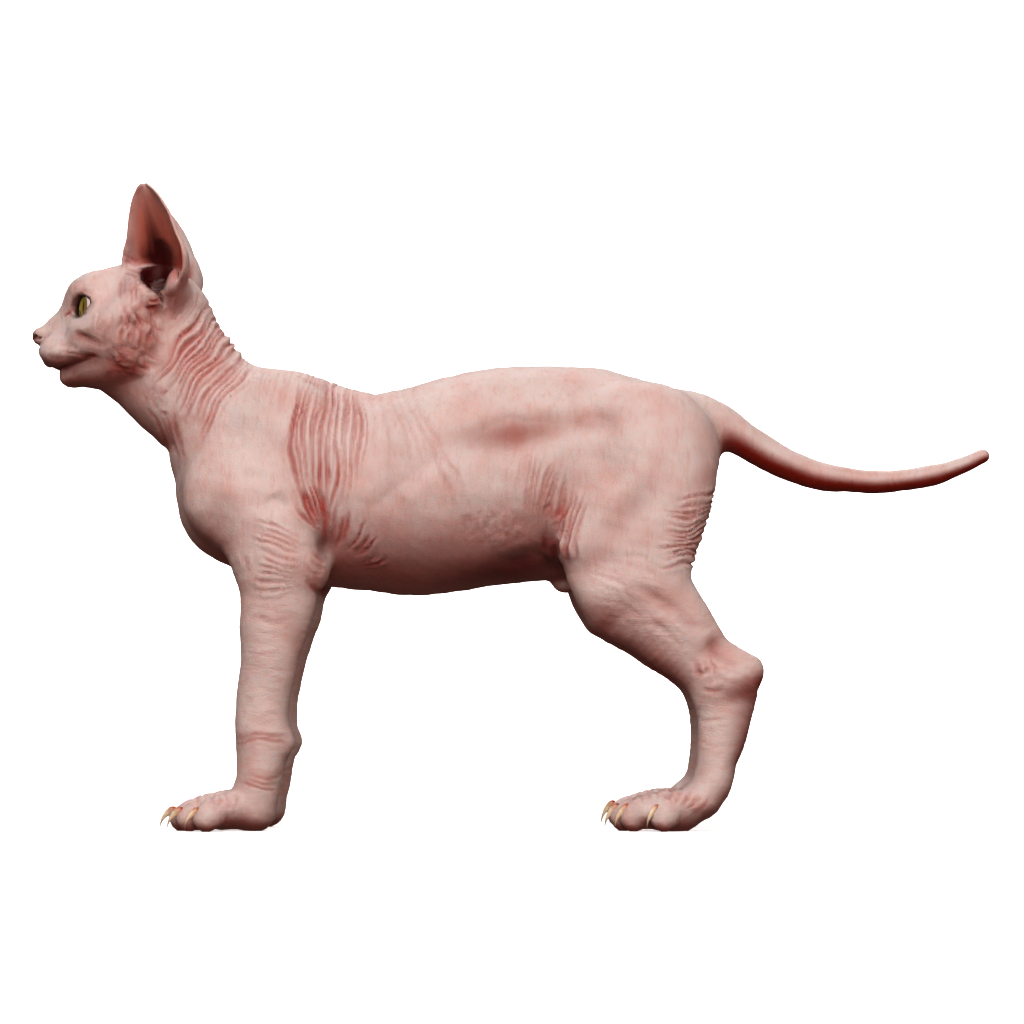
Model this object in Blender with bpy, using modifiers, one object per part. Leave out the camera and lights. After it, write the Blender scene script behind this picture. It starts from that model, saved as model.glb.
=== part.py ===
"""A sphynx cat standing square, life size, as a still model: the solids of its body.

The cat faces -X with its left side at -Y, and its pads stand on the floor at Z = 0.
The body is one smooth form, made of muscle masses that blend into each other. A mesh is wrapped
over the masses, drawn onto that form, thinned, and parted into nodes with thin cuts.
Sizes are in millimetres until a mesh is made, and the right side (+Y) stands for both.
"""

import math

import bmesh
import bpy
import numpy as np
from mathutils import Matrix, Vector

MM = 0.001
# The width of the cut between two nodes, and the ears' slightly wider gap to the head.
CUT = 0.3
EAR_GAP = 0.36

# A tube is a blend radius and its stations: x, y, z, half depth, half width.
TUBES = {
    "torso": (14, [
        (-150, 0, 202, 50, 33),
        (-125, 0, 195, 56, 42),
        (-100, 0, 190.5, 56, 46),
        (-78, 0, 187, 54.5, 48.5),
        (-53, 0, 188, 58.3, 50),
        (-26, 0, 193.5, 60, 49.5),
        (0, 0, 197.3, 60.3, 47),
        (27, 0, 198.5, 60, 43),
        (52, 0, 201, 56, 38),
        (75, 0, 207, 44.5, 34),
        (87, 0, 213, 33, 29),
    ]),
    "neck": (14, [
        (-201, 0, 270, 36, 25),
        (-182.5, 0, 247.8, 34.8, 27),
        (-165, 0, 229.3, 33, 31),
        (-152.5, 0, 213, 39.5, 34),
    ]),
    "tail": (8, [
        (84, 0, 228, 15, 15),
        (100, 0, 230.5, 14, 13.5),
        (112, 0, 228, 12, 12),
        (121.8, 0, 222.4, 10.8, 10.8),
        (135.2, 0, 213.9, 9.5, 9.5),
        (148.7, 0, 206.1, 8.8, 8.8),
        (162, 0, 200.2, 8.1, 8.1),
        (175.6, 0, 196.3, 7.8, 7.8),
        (202.4, 0, 193.2, 6.7, 6.7),
        (229.3, 0, 196, 5.6, 5.6),
        (249.5, 0, 201.4, 4.8, 4.8),
        (264.2, 0, 208, 4, 4),
    ]),
    "upper_arm": (12, [
        (-142, 30, 184, 32, 17),
        (-133, 33, 162, 27, 17),
        (-127, 34, 146, 24, 16.5),
    ]),
    "forearm": (8, [
        (-126.7, 34, 146, 24, 16.5),
        (-127.9, 34, 131.7, 21.3, 16),
        (-128.8, 34, 120.7, 20.2, 15.5),
        (-130.8, 34, 109.6, 18.3, 15),
        (-133.8, 34, 87.5, 15.4, 13.5),
        (-136.2, 34, 72, 14.6, 13),
        (-136.6, 34, 59.9, 14.6, 13.5),
        (-135.5, 34, 48.3, 14.8, 14),
        (-136.8, 34, 37.8, 13.4, 13.8),
        (-138.3, 34, 26.7, 12.6, 14),
    ]),
    "fore_palm": (6, [
        (-140, 34, 17, 11.5, 14),
        (-149, 34, 12, 10.5, 15.5),
        (-158.5, 34, 10, 9.5, 16.5),
    ]),
    "thigh": (12, [
        (82.5, 22, 208, 31, 20),
        (76.5, 27, 190, 35, 22),
        (69.5, 32, 170, 36, 21),
        (65.5, 34.5, 152, 34.5, 19),
        (64.5, 36, 138, 32, 17.5),
    ]),
    "shank": (9, [
        (63.5, 36, 131.5, 28.5, 17),
        (80.5, 36, 117, 24, 15.5),
        (89.5, 36, 107, 21.5, 14),
        (98.1, 36, 97.1, 17.5, 12.5),
        (106.5, 36, 87.5, 15, 11.5),
        (112.5, 36, 80.5, 15, 11),
    ]),
    "tendon": (5, [
        (94.2, 36, 124.4, 8, 8),
        (106.2, 36, 109.4, 6, 6),
        (117.2, 36, 99.7, 4, 4.6),
        (130.2, 36, 90.4, 5, 5.5),
    ]),
    "metatarsus": (7, [
        (117.2, 36, 82, 17.5, 11),
        (116.6, 36, 72, 16.5, 10.5),
        (115.8, 36, 60, 14.6, 10.5),
        (114.1, 36, 49, 12.9, 10.5),
        (111.4, 36, 38, 11, 11),
        (109.4, 36, 27, 11, 12.5),
        (105.2, 36, 20, 10.5, 13),
    ]),
    "hind_palm": (6, [
        (102, 36, 15.5, 9.5, 12.5),
        (92.5, 36, 12, 10.2, 14.5),
        (81.5, 36, 11, 9.8, 15.5),
        (72.5, 36, 10, 9, 16),
    ]),
    "nose_bridge": (6, [
        (-232, 0, 290, 11, 13),
        (-246, 0, 285.5, 8, 9.5),
        (-256, 0, 280.3, 6.6, 7.5),
        (-262.5, 0, 276.3, 5.3, 6.5),
    ]),
    "upper_lip": (5, [
        (-253, 8, 265.5, 7.5, 8),
        (-243, 13, 266, 8, 8),
        (-231, 19, 268, 8.5, 8.5),
        (-219, 24, 271, 10, 8),
    ]),
    "jaw": (6, [
        (-246, 4, 253.3, 6, 6),
        (-238, 10, 254, 6.8, 7.5),
        (-226, 17, 256.5, 9, 8.5),
        (-212, 22, 263, 12, 9),
    ]),
    "cheekbone": (6, [
        (-241, 19, 276, 6, 6),
        (-229, 27, 278, 6, 6),
        (-215, 30, 284, 6.5, 6),
        (-203, 29, 293, 7, 6),
    ]),
}
# A ball is a blend radius, its centre, its radii, and its pitch in degrees, nose down.
BALLS = {
    "breast": (12, (-150.5, 0, 178), (33, 30, 30), 0),
    "withers": (12, (-130, 0, 233), (30, 15, 22), 0),
    "shoulder_blade": (14, (-122, 27, 215), (26, 15, 38), 20),
    "shoulder": (12, (-150, 29, 184), (30, 17, 27), 0),
    "triceps": (10, (-121, 34, 170), (21, 15, 28), -25),
    "elbow": (6, (-109.5, 34, 143), (8, 9, 10), 0),
    "haunch": (14, (74.5, 26, 212), (34, 19, 34), 0),
    "buttock": (9, (88.5, 26, 191), (17.5, 18, 31), 0),
    "flank_fold": (12, (42, 36, 152), (15, 9, 24), 20),
    "stifle": (8, (51, 37, 129.5), (15, 15, 15), 0),
    "hock": (6, (120, 36, 83), (13, 10.5, 12), 0),
    "heel_bone": (4, (131, 36, 86.5), (6.5, 6.5, 7), 0),
    "carpal_pad": (4, (-124.5, 36, 48), (5, 5, 6), 0),
    "fore_heel": (5, (-140, 34, 9.5), (11, 13.5, 10), 0),
    "hind_heel": (5, (89, 36, 8.3), (12, 12, 9), 0),
    "cranium": (10, (-207, 0, 289), (35, 28, 29), 0),
    "forehead": (8, (-232.8, 0, 293.5), (19, 20, 18), 0),
    "brow": (8, (-234, 14, 301), (12, 9, 7), 14),
    "muzzle": (8, (-243, 0, 273), (17, 14, 13), 12),
    "cheek": (8, (-215, 22, 275), (18, 12.5, 18), 0),
    "whisker_pad": (4, (-252.7, 8.5, 266), (12.3, 9.5, 8.3), 0),
    "nose_tip": (3, (-264.6, 0, 275.3), (5, 6.6, 5), 0),
    "philtrum": (3, (-259, 0, 265.5), (6, 6, 8), 0),
    "chin": (4, (-247.3, 0, 252.6), (7.2, 9.5, 6.2), 0),
    "throat": (10, (-219, 0, 262), (21, 18.5, 18.5), 0),
    "ear_base": (9, (-195, 23, 300), (16, 10, 11), 0),
    "sheath": (4, (30, 0, 138), (8, 5, 7), 0),
}


def resample(stations, steps):
    """Stations along a smooth curve that passes through every given one."""
    points = np.array(stations, float)
    ends = np.vstack([2 * points[0] - points[1], points, 2 * points[-1] - points[-2]])
    rows = []
    for i in range(len(points) - 1):
        before, here, after, beyond = ends[i:i + 4]
        for t in np.arange(steps) / steps:
            rows.append(0.5 * (2 * here + (after - before) * t
                               + (2 * before - 5 * here + 4 * after - beyond) * t ** 2
                               + (3 * here - before - 3 * after + beyond) * t ** 3))
    return np.array(rows + [points[-1]])


def ellipsoid_distance(offset, radii):
    """Rough distance to an ellipsoid, exact at its surface."""
    near = np.linalg.norm(offset / radii, axis=-1)
    steep = np.linalg.norm(offset / radii ** 2, axis=-1)
    return near * (near - 1) / np.maximum(steep, 1e-6)


def ball_distance(points, centre, radii, pitch):
    angle = math.radians(pitch)
    offset = points - np.array(centre, float)
    x = offset[:, 0] * math.cos(angle) + offset[:, 2] * math.sin(angle)
    z = offset[:, 2] * math.cos(angle) - offset[:, 0] * math.sin(angle)
    return ellipsoid_distance(np.column_stack([x, offset[:, 1], z]), np.array(radii, float))


def tube_frame(start, end):
    """Unit directions along a tube's stretch, across its depth and across its width."""
    along = (end - start) / np.linalg.norm(end - start)
    depth = np.cross((0, 1, 0), along)
    depth /= np.linalg.norm(depth)
    return along, depth, np.cross(along, depth)


def tube_distance(points, stations):
    best = np.full(len(points), 1e3)
    for start, end in zip(stations[:-1], stations[1:]):
        along, depth, width = tube_frame(start[:3], end[:3])
        length = np.linalg.norm(end[:3] - start[:3])
        travel = np.clip((points - start[:3]) @ along / length, 0, 1)
        offset = points - start[:3] - travel[:, None] * (end[:3] - start[:3])
        half_depth = start[3] + travel * (end[3] - start[3])
        half_width = start[4] + travel * (end[4] - start[4])
        radii = np.column_stack([np.minimum(half_depth, half_width), half_depth, half_width])
        local = np.column_stack([offset @ along, offset @ depth, offset @ width])
        best = np.minimum(best, ellipsoid_distance(local, radii))
    return best


def blend(a, b, radius):
    overlap = np.maximum(radius - np.abs(a - b), 0) / radius
    return np.minimum(a, b) - overlap ** 2 * radius / 4


# Toes and their claws: where a toe leaves the palm and where its end pad lies, in x and y.
FORE_TOES = {
    "fifth": ((-151, 44.5), (-166, 49.5)),
    "fourth": ((-156, 38.5), (-176, 41.5)),
    "third": ((-156, 31), (-181, 32)),
    "second": ((-151, 24.5), (-174, 22.5)),
}
HIND_TOES = {
    "fifth": ((92, 45), (81, 50.5)),
    "fourth": ((84, 40), (65, 43)),
    "third": ((84, 32.5), (60, 33.5)),
    "second": ((90, 27), (68, 25)),
}
# Along a toe from the palm to the end pad: how far along, height, half depth and half width.
TOE_PROFILE = {
    "fore": [(0, 13, 8.5, 7), (0.45, 12.3, 7.6, 6), (0.8, 8.8, 7.6, 6.3), (1, 6.2, 6.9, 5.8)],
    "hind": [(0, 13.5, 8, 7), (0.45, 12.6, 7.4, 6), (0.8, 9.2, 7.8, 6.4), (1, 6.2, 6.9, 5.8)],
}
TOE_BLEND = 2.2
# A claw: how far ahead of the toe's middle it starts, how far it reaches from there, the height of
# its root, and half its depth and width there.
CLAWS = {"fore": (1.5, 9.5, 11.5, 3.4, 2.1), "hind": (0.5, 9.0, 13.0, 3.8, 2.2)}
CLAW_TIP_HEIGHT = 0.9
# A claw's root is this share of its full thickness, which it gains over this share of its length.
CLAW_ROOT = (0.5, 0.25)
CLAW_TAPER = 0.6
CLAW_POINT = 0.1
CLAW_SIDES = 6
CLAW_RINGS = 4
DEWCLAW_KNOB = (4, (-146, 22.5, 27), (5, 3.6, 6), 0)

EYE_RADIUS = 10
EYE_CENTRE = Vector((-230.8, 17, 288.7))
EYE_LOOKS = Vector((-0.87, 0.48, 0.06)).normalized()
LID_THICKNESS = 1.4
# The opening between the lids, seen along the gaze: half its length, its rise and its drop.
EYE_SLIT = (8.2, 5.8, 5.2)
EYE_SLIT_TILT = 16
# The prism that cuts the opening: its sides, where it starts and ends along the gaze, how much it
# spreads towards the front, and the power that points its corners.
SLIT_SIDES = 20
SLIT_REACH = (4, 20)
SLIT_SPREAD = 1.15
SLIT_POINT = 1.25


def toe_stations(foot, root, tip):
    rows = []
    for travel, height, depth, width in TOE_PROFILE[foot]:
        x = root[0] + travel * (tip[0] - root[0])
        y = root[1] + travel * (tip[1] - root[1])
        rows.append((x, y, height, depth, width))
    return rows


def all_masses():
    """Every mass as a blend radius, a distance function and the box it can reach."""
    masses = []
    tubes = list(TUBES.values())
    for foot, toes in (("fore", FORE_TOES), ("hind", HIND_TOES)):
        tubes += [(TOE_BLEND, toe_stations(foot, root, tip)) for root, tip in toes.values()]
    for radius, stations in tubes:
        rows = resample(stations, 3)
        reach = rows[:, 3:].max(axis=1)[:, None]
        low = (rows[:, :3] - reach).min(axis=0)
        high = (rows[:, :3] + reach).max(axis=0)
        masses.append((radius, tube_distance, (rows,), low, high))
    lid = (2, EYE_CENTRE, [EYE_RADIUS + LID_THICKNESS] * 3, 0)
    for radius, centre, radii, pitch in list(BALLS.values()) + [DEWCLAW_KNOB, lid]:
        reach = max(radii)
        low, high = np.array(centre) - reach, np.array(centre) + reach
        masses.append((radius, ball_distance, (centre, radii, pitch), low, high))
    return masses


MASSES = all_masses()
# A point far from every mass is given this distance, and a mass counts only this near its box.
FAR_AWAY = 60
NEAR_BOX = 8
# A point moves onto the form by at most this far at once, as if the slope were never gentler.
LONGEST_MOVE = 3
GENTLEST_SLOPE = 0.25


def body_form(points):
    """Signed distance to the body, in millimetres, folded to the right side."""
    folded = points * (1, 0, 1) + np.abs(points) * (0, 1, 0)
    value = np.full(len(points), float(FAR_AWAY))
    for radius, distance, arguments, low, high in MASSES:
        margin = radius + NEAR_BOX
        close = ((folded > low - margin) & (folded < high + margin)).all(axis=1)
        if close.any():
            value[close] = blend(value[close], distance(folded[close], *arguments), radius)
    return np.maximum(value, -points[:, 2])


def draw_onto(points, form, rounds, step=0.05):
    """Move points along the form's slope until they lie on it."""
    for _ in range(rounds):
        value = form(points)
        slope = np.column_stack([form(points + step * axis) - value for axis in np.eye(3)]) / step
        steep = np.maximum((slope ** 2).sum(axis=1), GENTLEST_SLOPE)
        move = np.clip(value / steep, -LONGEST_MOVE, LONGEST_MOVE)
        points = points - move[:, None] * slope
    return points


# The line of the mouth from the middle to the right corner, before it is drawn onto the face.
MOUTH_LINE = [(-256, 0, 259.5), (-254, 5, 258.6), (-249, 11, 258.4), (-241, 17, 259.4),
              (-234.5, 21.5, 261.3), (-229.5, 24.5, 263.2)]
MOUTH_GROOVE = 0.9
NOSTRIL_CENTRE = (-267.8, 4.1, 275)
NOSTRIL_RADII = (3.6, 1.7, 1.5)
NOSTRIL_TURN = 20

# The cup of the ear: an upright trough whose mouth is turned forwards and outwards.
EAR_FOOT = Vector((-198.5, 27, 300))
EAR_TIP = Vector((-203.5, 39, 355.5))
EAR_TURN = 37
EAR_HALF_WIDTH = 22.5
EAR_CUP_DEPTH = 16
EAR_WALL = 1.9
EAR_ARC = 80
# The sheet of the cup: its columns and rows, and how far below the foot it starts, as a share of
# its height.
EAR_SHEET = (12, 10)
EAR_SUNK = 0.28
# Its last row ends just under the tip, and its rows crowd towards the tip by a power.
EAR_TOP = 0.995
EAR_CROWDING = 1.25
# The outline: its width at the foot, how much it swells and up to where, and the powers of its tip.
EAR_SWELL = (0.92, 0.14, 0.5)
EAR_ROUND = (2.3, 0.62)
# Towards the foot the rims draw together, by a share, below a height, over a length, by a power.
EAR_GATHER = (0.62, 0.12, 0.4, 1.4)
EAR_FOOT_BACK = 9
EAR_LEAST_WIDTH = 0.1
EAR_LEANS_BACK = 2.5
# The cup is shallower towards the tip, by a share, and where it is narrow.
EAR_FLATTENS = 0.75
EAR_NARROW_DEPTH = 0.35

# Where the body is parted: a disc is a centre, the way it faces and a radius.
DISCS = {
    "nape": ((-199, 0, 270), (0.688, 0, -0.725), 54),
    "withers": ((-166, 0, 222), (0.846, 0, -0.533), 62),
    "tail_root": ((126, 0, 220), (0.95, 0, -0.3), 20),
    "tail_middle": ((169, 0, 198), (0.94, 0, -0.34), 14),
    "tail_end": ((218, 0, 194.5), (0.99, 0, 0.1), 12),
    "wrist": ((-138.3, 34, 40), (0, 0, 1), 22),
    "hock": ((117, 36, 76), (-0.2, 0, 1), 28),
    "hind_pastern": ((111, 36, 29.5), (0.38, 0, 1), 21),
}
# A bowl is a centre and radii: the head of a limb lies inside it.
BOWLS = {
    "arm": ((-132, 37, 152), (43, 32, 39)),
    "thigh": ((71, 39, 160), (50, 37, 50)),
}
# Each node of flesh, with a point near its middle.
NODES = {
    "head": (-225, 0, 282),
    "neck": (-180, 0, 243),
    "torso": (-20, 0, 200),
    "tail_root": (140, 0, 211),
    "tail_middle": (193, 0, 194),
    "tail_tip": (243, 0, 200),
    "upper_arm": (-132, 36, 150),
    "forearm": (-136, 34, 80),
    "fore_paw": (-150, 34, 16),
    "thigh": (74, 38, 160),
    "shank": (96, 36, 104),
    "hind_foot": (116, 36, 52),
    "hind_paw": (90, 36, 14),
}
# A part of the body answers to the nearest name, and its volume decides only within this reach.
CLAIM_REACH = 20
CLAIM_POWER = 6
VOXEL = 2.0
BODY_TRIANGLES = 7800
# What comes this near the floor lies flat on it.
FLOOR_SNAP = 0.3

# The look of each sort of piece: colour, roughness.
FLESH = ((0.62, 0.33, 0.28), 0.55)
EAR_SKIN = ((0.52, 0.20, 0.16), 0.55)
EYE = ((0.38, 0.36, 0.08), 0.12)


def add_ball(mesh, centre, axes, radii, fine=2):
    """A round ball stretched to its radii along three axes."""
    made = bmesh.ops.create_icosphere(mesh, subdivisions=fine, radius=1)
    turn = Matrix([Vector(axis) for axis in axes]).transposed().to_4x4()
    place = Matrix.Translation(Vector(centre)) @ turn @ Matrix.Diagonal((*radii, 1))
    bmesh.ops.transform(mesh, matrix=place, verts=made["verts"])


def add_other_side(mesh):
    """Add the mirror image of everything in a mesh."""
    copy = mesh.copy()
    bmesh.ops.scale(copy, vec=(1, -1, 1), verts=copy.verts)
    bmesh.ops.reverse_faces(copy, faces=copy.faces)
    data = bpy.data.meshes.new("other_side")
    copy.to_mesh(data)
    copy.free()
    mesh.from_mesh(data)
    bpy.data.meshes.remove(data)


def wrapped_masses():
    """Overlapping balls that fill every mass, ready to be wrapped in one skin."""
    mesh = bmesh.new()
    for _, distance, arguments, _, _ in MASSES:
        if distance is ball_distance:
            centre, radii, pitch = arguments
            axes = Matrix.Rotation(-math.radians(pitch), 3, "Y").transposed()
            add_ball(mesh, centre, axes, radii)
        else:
            rows = arguments[0]
            for row, following in zip(rows, np.vstack([rows[1:], 2 * rows[-1:] - rows[-2:-1]])):
                axes = tube_frame(row[:3], following[:3])
                add_ball(mesh, row[:3], axes, (min(row[3:]), row[3], row[4]))
    add_other_side(mesh)
    return mesh


def collection(name):
    made = bpy.data.collections.new(name)
    bpy.context.scene.collection.children.link(made)
    return made


def new_object(name, mesh, home):
    """An object in a collection from a bmesh, in millimetres."""
    data = bpy.data.meshes.new(name)
    mesh.to_mesh(data)
    mesh.free()
    made = bpy.data.objects.new(name, data)
    home.objects.link(made)
    return made


def modify(thing, kind, **settings):
    modifier = thing.modifiers.new(kind.title(), kind)
    for name, value in settings.items():
        setattr(modifier, name, value)
    return modifier


def apply_modifiers(thing):
    graph = bpy.context.evaluated_depsgraph_get()
    data = bpy.data.meshes.new_from_object(thing.evaluated_get(graph))
    thing.modifiers.clear()
    thing.data = data


def points_of(thing):
    flat = np.empty(len(thing.data.vertices) * 3, np.float32)
    thing.data.vertices.foreach_get("co", flat)
    return flat.reshape(-1, 3).astype(float)


def place_points(thing, points):
    thing.data.vertices.foreach_set("co", points.astype(np.float32).ravel())
    thing.data.update()


def disc_cutter(mesh, centre, facing, radius):
    made = bmesh.ops.create_cone(mesh, cap_ends=True, segments=32, radius1=radius, radius2=radius,
                                 depth=CUT)
    turn = Vector(facing).to_track_quat("Z", "Y").to_matrix().to_4x4()
    bmesh.ops.transform(mesh, matrix=Matrix.Translation(centre) @ turn, verts=made["verts"])


def bowl_cutter(mesh, centre, radii):
    """A thin closed shell, whose inside wall faces inwards."""
    axes = Matrix.Identity(3)
    add_ball(mesh, centre, axes, radii, fine=3)
    bmesh.ops.reverse_faces(mesh, faces=mesh.faces)
    add_ball(mesh, centre, axes, [r + CUT for r in radii], fine=3)


def subtract(thing, cutters, home):
    """Cut closed shapes out of an object, one after the other, and remove them."""
    for cutter in cutters:
        tool = new_object("cutter", cutter, home)
        tool.hide_render = True
        tool.display_type = "WIRE"
        modify(thing, "BOOLEAN", object=tool, operation="DIFFERENCE", solver="EXACT")
        apply_modifiers(thing)
        bpy.data.objects.remove(tool)


def loose_parts(data):
    """The separate closed surfaces of a mesh, each as a bmesh."""
    whole = bmesh.new()
    whole.from_mesh(data)
    bmesh.ops.triangulate(whole, faces=whole.faces)
    seen, parts = set(), []
    for start in whole.verts:
        if start in seen:
            continue
        island, queue = {start}, [start]
        while queue:
            for edge in queue.pop().link_edges:
                for vert in edge.verts:
                    if vert not in island:
                        island.add(vert)
                        queue.append(vert)
        seen |= island
        part = whole.copy()
        part.verts.ensure_lookup_table()
        keep = {vert.index for vert in island}
        bmesh.ops.delete(part, geom=[v for v in part.verts if v.index not in keep], context="VERTS")
        parts.append(part)
    whole.free()
    return parts


def volume(mesh):
    return abs(mesh.calc_volume(signed=True))


def wrapped_body(home):
    """The whole body as one thinned mesh on the form, its pads flat on the floor."""
    body = new_object("body", wrapped_masses(), home)
    modify(body, "REMESH", mode="VOXEL", voxel_size=VOXEL)
    apply_modifiers(body)
    place_points(body, draw_onto(points_of(body), body_form, 4))
    faces = sum(len(face.vertices) - 2 for face in body.data.polygons)
    modify(body, "DECIMATE", ratio=BODY_TRIANGLES / faces)
    apply_modifiers(body)
    points = points_of(body)
    points[points[:, 2] < FLOOR_SNAP, 2] = 0
    place_points(body, points)
    return body


def middle(mesh):
    return sum((vert.co for vert in mesh.verts), Vector()) / len(mesh.verts)


def claim(mesh, spot):
    """How well a part of the body answers to a place: large parts near it win."""
    return volume(mesh) / (CLAIM_REACH + (middle(mesh) - spot).length) ** CLAIM_POWER


def part_body(body, home):
    """Cut the body into its nodes."""
    cutters = []
    for centre, facing, radius in DISCS.values():
        cutter = bmesh.new()
        disc_cutter(cutter, centre, facing, radius)
        if centre[1]:
            add_other_side(cutter)
        cutters.append(cutter)
    for centre, radii in BOWLS.values():
        cutter = bmesh.new()
        bowl_cutter(cutter, centre, radii)
        add_other_side(cutter)
        cutters.append(cutter)
    subtract(body, cutters, home)
    parts = loose_parts(body.data)
    bpy.data.objects.remove(body)
    nodes = {}
    for name, place in NODES.items():
        sides = [("", 1)] if place[1] == 0 else [("left_", -1), ("right_", 1)]
        for side, sign in sides:
            spot = Vector((place[0], sign * place[1], place[2]))
            best = max(parts, key=lambda part: claim(part, spot))
            nodes[side + name] = new_object(side + name, best.copy(), home)
    return nodes


def eye_turn(sign):
    """The eye's own axes: outwards along the lids, up, and along the gaze."""
    gaze = Vector((EYE_LOOKS.x, sign * EYE_LOOKS.y, EYE_LOOKS.z))
    across = Vector((0, 0, 1)).cross(gaze).normalized() * -sign
    up = gaze.cross(across).normalized()
    if up.z < 0:
        up.negate()
    tilt = math.radians(EYE_SLIT_TILT)
    outwards = across if across.y * sign > 0 else -across
    along = outwards * math.cos(tilt) + up * math.sin(tilt)
    over = up * math.cos(tilt) - outwards * math.sin(tilt)
    return along, over, gaze


def eye_centre(sign):
    return Vector((EYE_CENTRE.x, sign * EYE_CENTRE.y, EYE_CENTRE.z))


def eye_ball(sign, radius):
    """A ball with its pole on the gaze."""
    mesh = bmesh.new()
    bmesh.ops.create_uvsphere(mesh, u_segments=16, v_segments=10, radius=radius)
    turn = eye_turn(sign)[2].to_track_quat("Z", "Y").to_matrix().to_4x4()
    bmesh.ops.transform(mesh, matrix=Matrix.Translation(eye_centre(sign)) @ turn, verts=mesh.verts)
    return mesh


def lid_opening(sign):
    """An almond prism from inside the eye out through the lids."""
    half_length, rise, drop = EYE_SLIT
    along, over, gaze = eye_turn(sign)
    mesh = bmesh.new()
    made = bmesh.ops.create_cone(mesh, cap_ends=True, segments=SLIT_SIDES, radius1=1, radius2=1,
                                 depth=1)
    for vert in made["verts"]:
        x, y, z = vert.co
        height = (rise if y > 0 else drop) * math.copysign(abs(y) ** SLIT_POINT, y)
        spread = 1 if z < 0 else SLIT_SPREAD
        depth = SLIT_REACH[0] if z < 0 else SLIT_REACH[1]
        vert.co = eye_centre(sign) + spread * (half_length * x * along + height * over) + depth * gaze
    bmesh.ops.recalc_face_normals(mesh, faces=mesh.faces)
    return mesh


def tube_through(points, radius, home):
    """A round closed tube along a line of points."""
    curve = bpy.data.curves.new("line", "CURVE")
    curve.dimensions = "3D"
    spline = curve.splines.new("POLY")
    spline.points.add(len(points) - 1)
    for point, place in zip(spline.points, points):
        point.co = (*place, 1)
    curve.bevel_depth = radius
    curve.bevel_resolution = 1
    curve.use_fill_caps = True
    line = bpy.data.objects.new("line", curve)
    home.objects.link(line)
    graph = bpy.context.evaluated_depsgraph_get()
    data = bpy.data.meshes.new_from_object(line.evaluated_get(graph))
    mesh = bmesh.new()
    mesh.from_mesh(data)
    bmesh.ops.remove_doubles(mesh, verts=mesh.verts, dist=0.001)
    bmesh.ops.recalc_face_normals(mesh, faces=mesh.faces)
    bpy.data.objects.remove(line)
    return mesh


def mouth_cutter(home):
    """The groove between the lips, from corner to corner."""
    right = draw_onto(np.array(MOUTH_LINE, float), body_form, 6)
    right[0, 1] = 0
    left = right[:0:-1] * (1, -1, 1)
    return tube_through(np.vstack([left, right]), MOUTH_GROOVE, home)


def nostril_cutter(sign):
    mesh = bmesh.new()
    centre = (NOSTRIL_CENTRE[0], sign * NOSTRIL_CENTRE[1], NOSTRIL_CENTRE[2])
    axes = Matrix.Rotation(math.radians(NOSTRIL_TURN * sign), 3, "Z")
    add_ball(mesh, centre, axes, NOSTRIL_RADII)
    return mesh


def ear_outline(height):
    """Half the ear's width, from 1 near its foot to a round tip."""
    foot, more, top = EAR_SWELL
    steep, blunt = EAR_ROUND
    swell = foot + more * math.sin(math.pi * min(height / top, 1))
    return swell * (1 - max(height, 0) ** steep) ** blunt


def ear_point(across, height, sign):
    """A point of the cup: across runs from the front rim to the rear one, height from foot to tip."""
    turn = math.radians(EAR_TURN)
    wide = Vector((math.cos(turn), math.sin(turn), 0))
    deep = Vector((math.sin(turn), -math.cos(turn), 0))
    axis = EAR_FOOT.lerp(EAR_TIP, height)
    arc = math.radians(EAR_ARC)
    half = EAR_HALF_WIDTH * max(ear_outline(height), EAR_LEAST_WIDTH)
    share, below, length, power = EAR_GATHER
    gather = 1 - share * min(max((below - height) / length, 0), 1) ** power
    narrow = EAR_NARROW_DEPTH + (1 - EAR_NARROW_DEPTH) * half / EAR_HALF_WIDTH
    cup = EAR_CUP_DEPTH * (1 - EAR_FLATTENS * max(height, 0)) * narrow
    sideways = half * gather * math.sin(across * arc) / math.sin(arc)
    inwards = cup * (math.cos(across * arc) - math.cos(arc)) / (1 - math.cos(arc))
    back = EAR_LEANS_BACK * math.sin(math.pi * min(max(height, 0), 1))
    place = axis + wide * (sideways + back) + deep * (inwards + EAR_FOOT_BACK * (1 - gather))
    return Vector((place.x, sign * place.y, place.z))


def ear_cup(sign, home):
    """The cup as an open sheet, given its wall."""
    mesh = bmesh.new()
    columns, rows = EAR_SHEET
    bmesh.ops.create_grid(mesh, x_segments=columns, y_segments=rows, size=1)
    for vert in mesh.verts:
        rise = EAR_TOP * (1 - (1 - (vert.co.y + 1) / 2) ** EAR_CROWDING)
        vert.co = ear_point(vert.co.x, (1 + EAR_SUNK) * rise - EAR_SUNK, sign)
    ear = new_object("cup", mesh, home)
    modify(ear, "SOLIDIFY", thickness=EAR_WALL, offset=0, use_even_offset=True)
    apply_modifiers(ear)
    mesh = bmesh.new()
    mesh.from_mesh(ear.data)
    bmesh.ops.recalc_face_normals(mesh, faces=mesh.faces)
    bpy.data.objects.remove(ear)
    return mesh


def head_swollen(head):
    """The head a hair's breadth larger, to cut the roots of the ears with."""
    mesh = bmesh.new()
    mesh.from_mesh(head.data)
    mesh.normal_update()
    for vert in mesh.verts:
        vert.co += vert.normal * EAR_GAP
    return mesh


def keep_largest(thing):
    largest = max(loose_parts(thing.data), key=volume)
    bmesh.ops.dissolve_degenerate(largest, dist=1e-3, edges=largest.edges)
    bmesh.ops.triangulate(largest, faces=largest.faces)
    largest.to_mesh(thing.data)
    largest.free()


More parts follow.
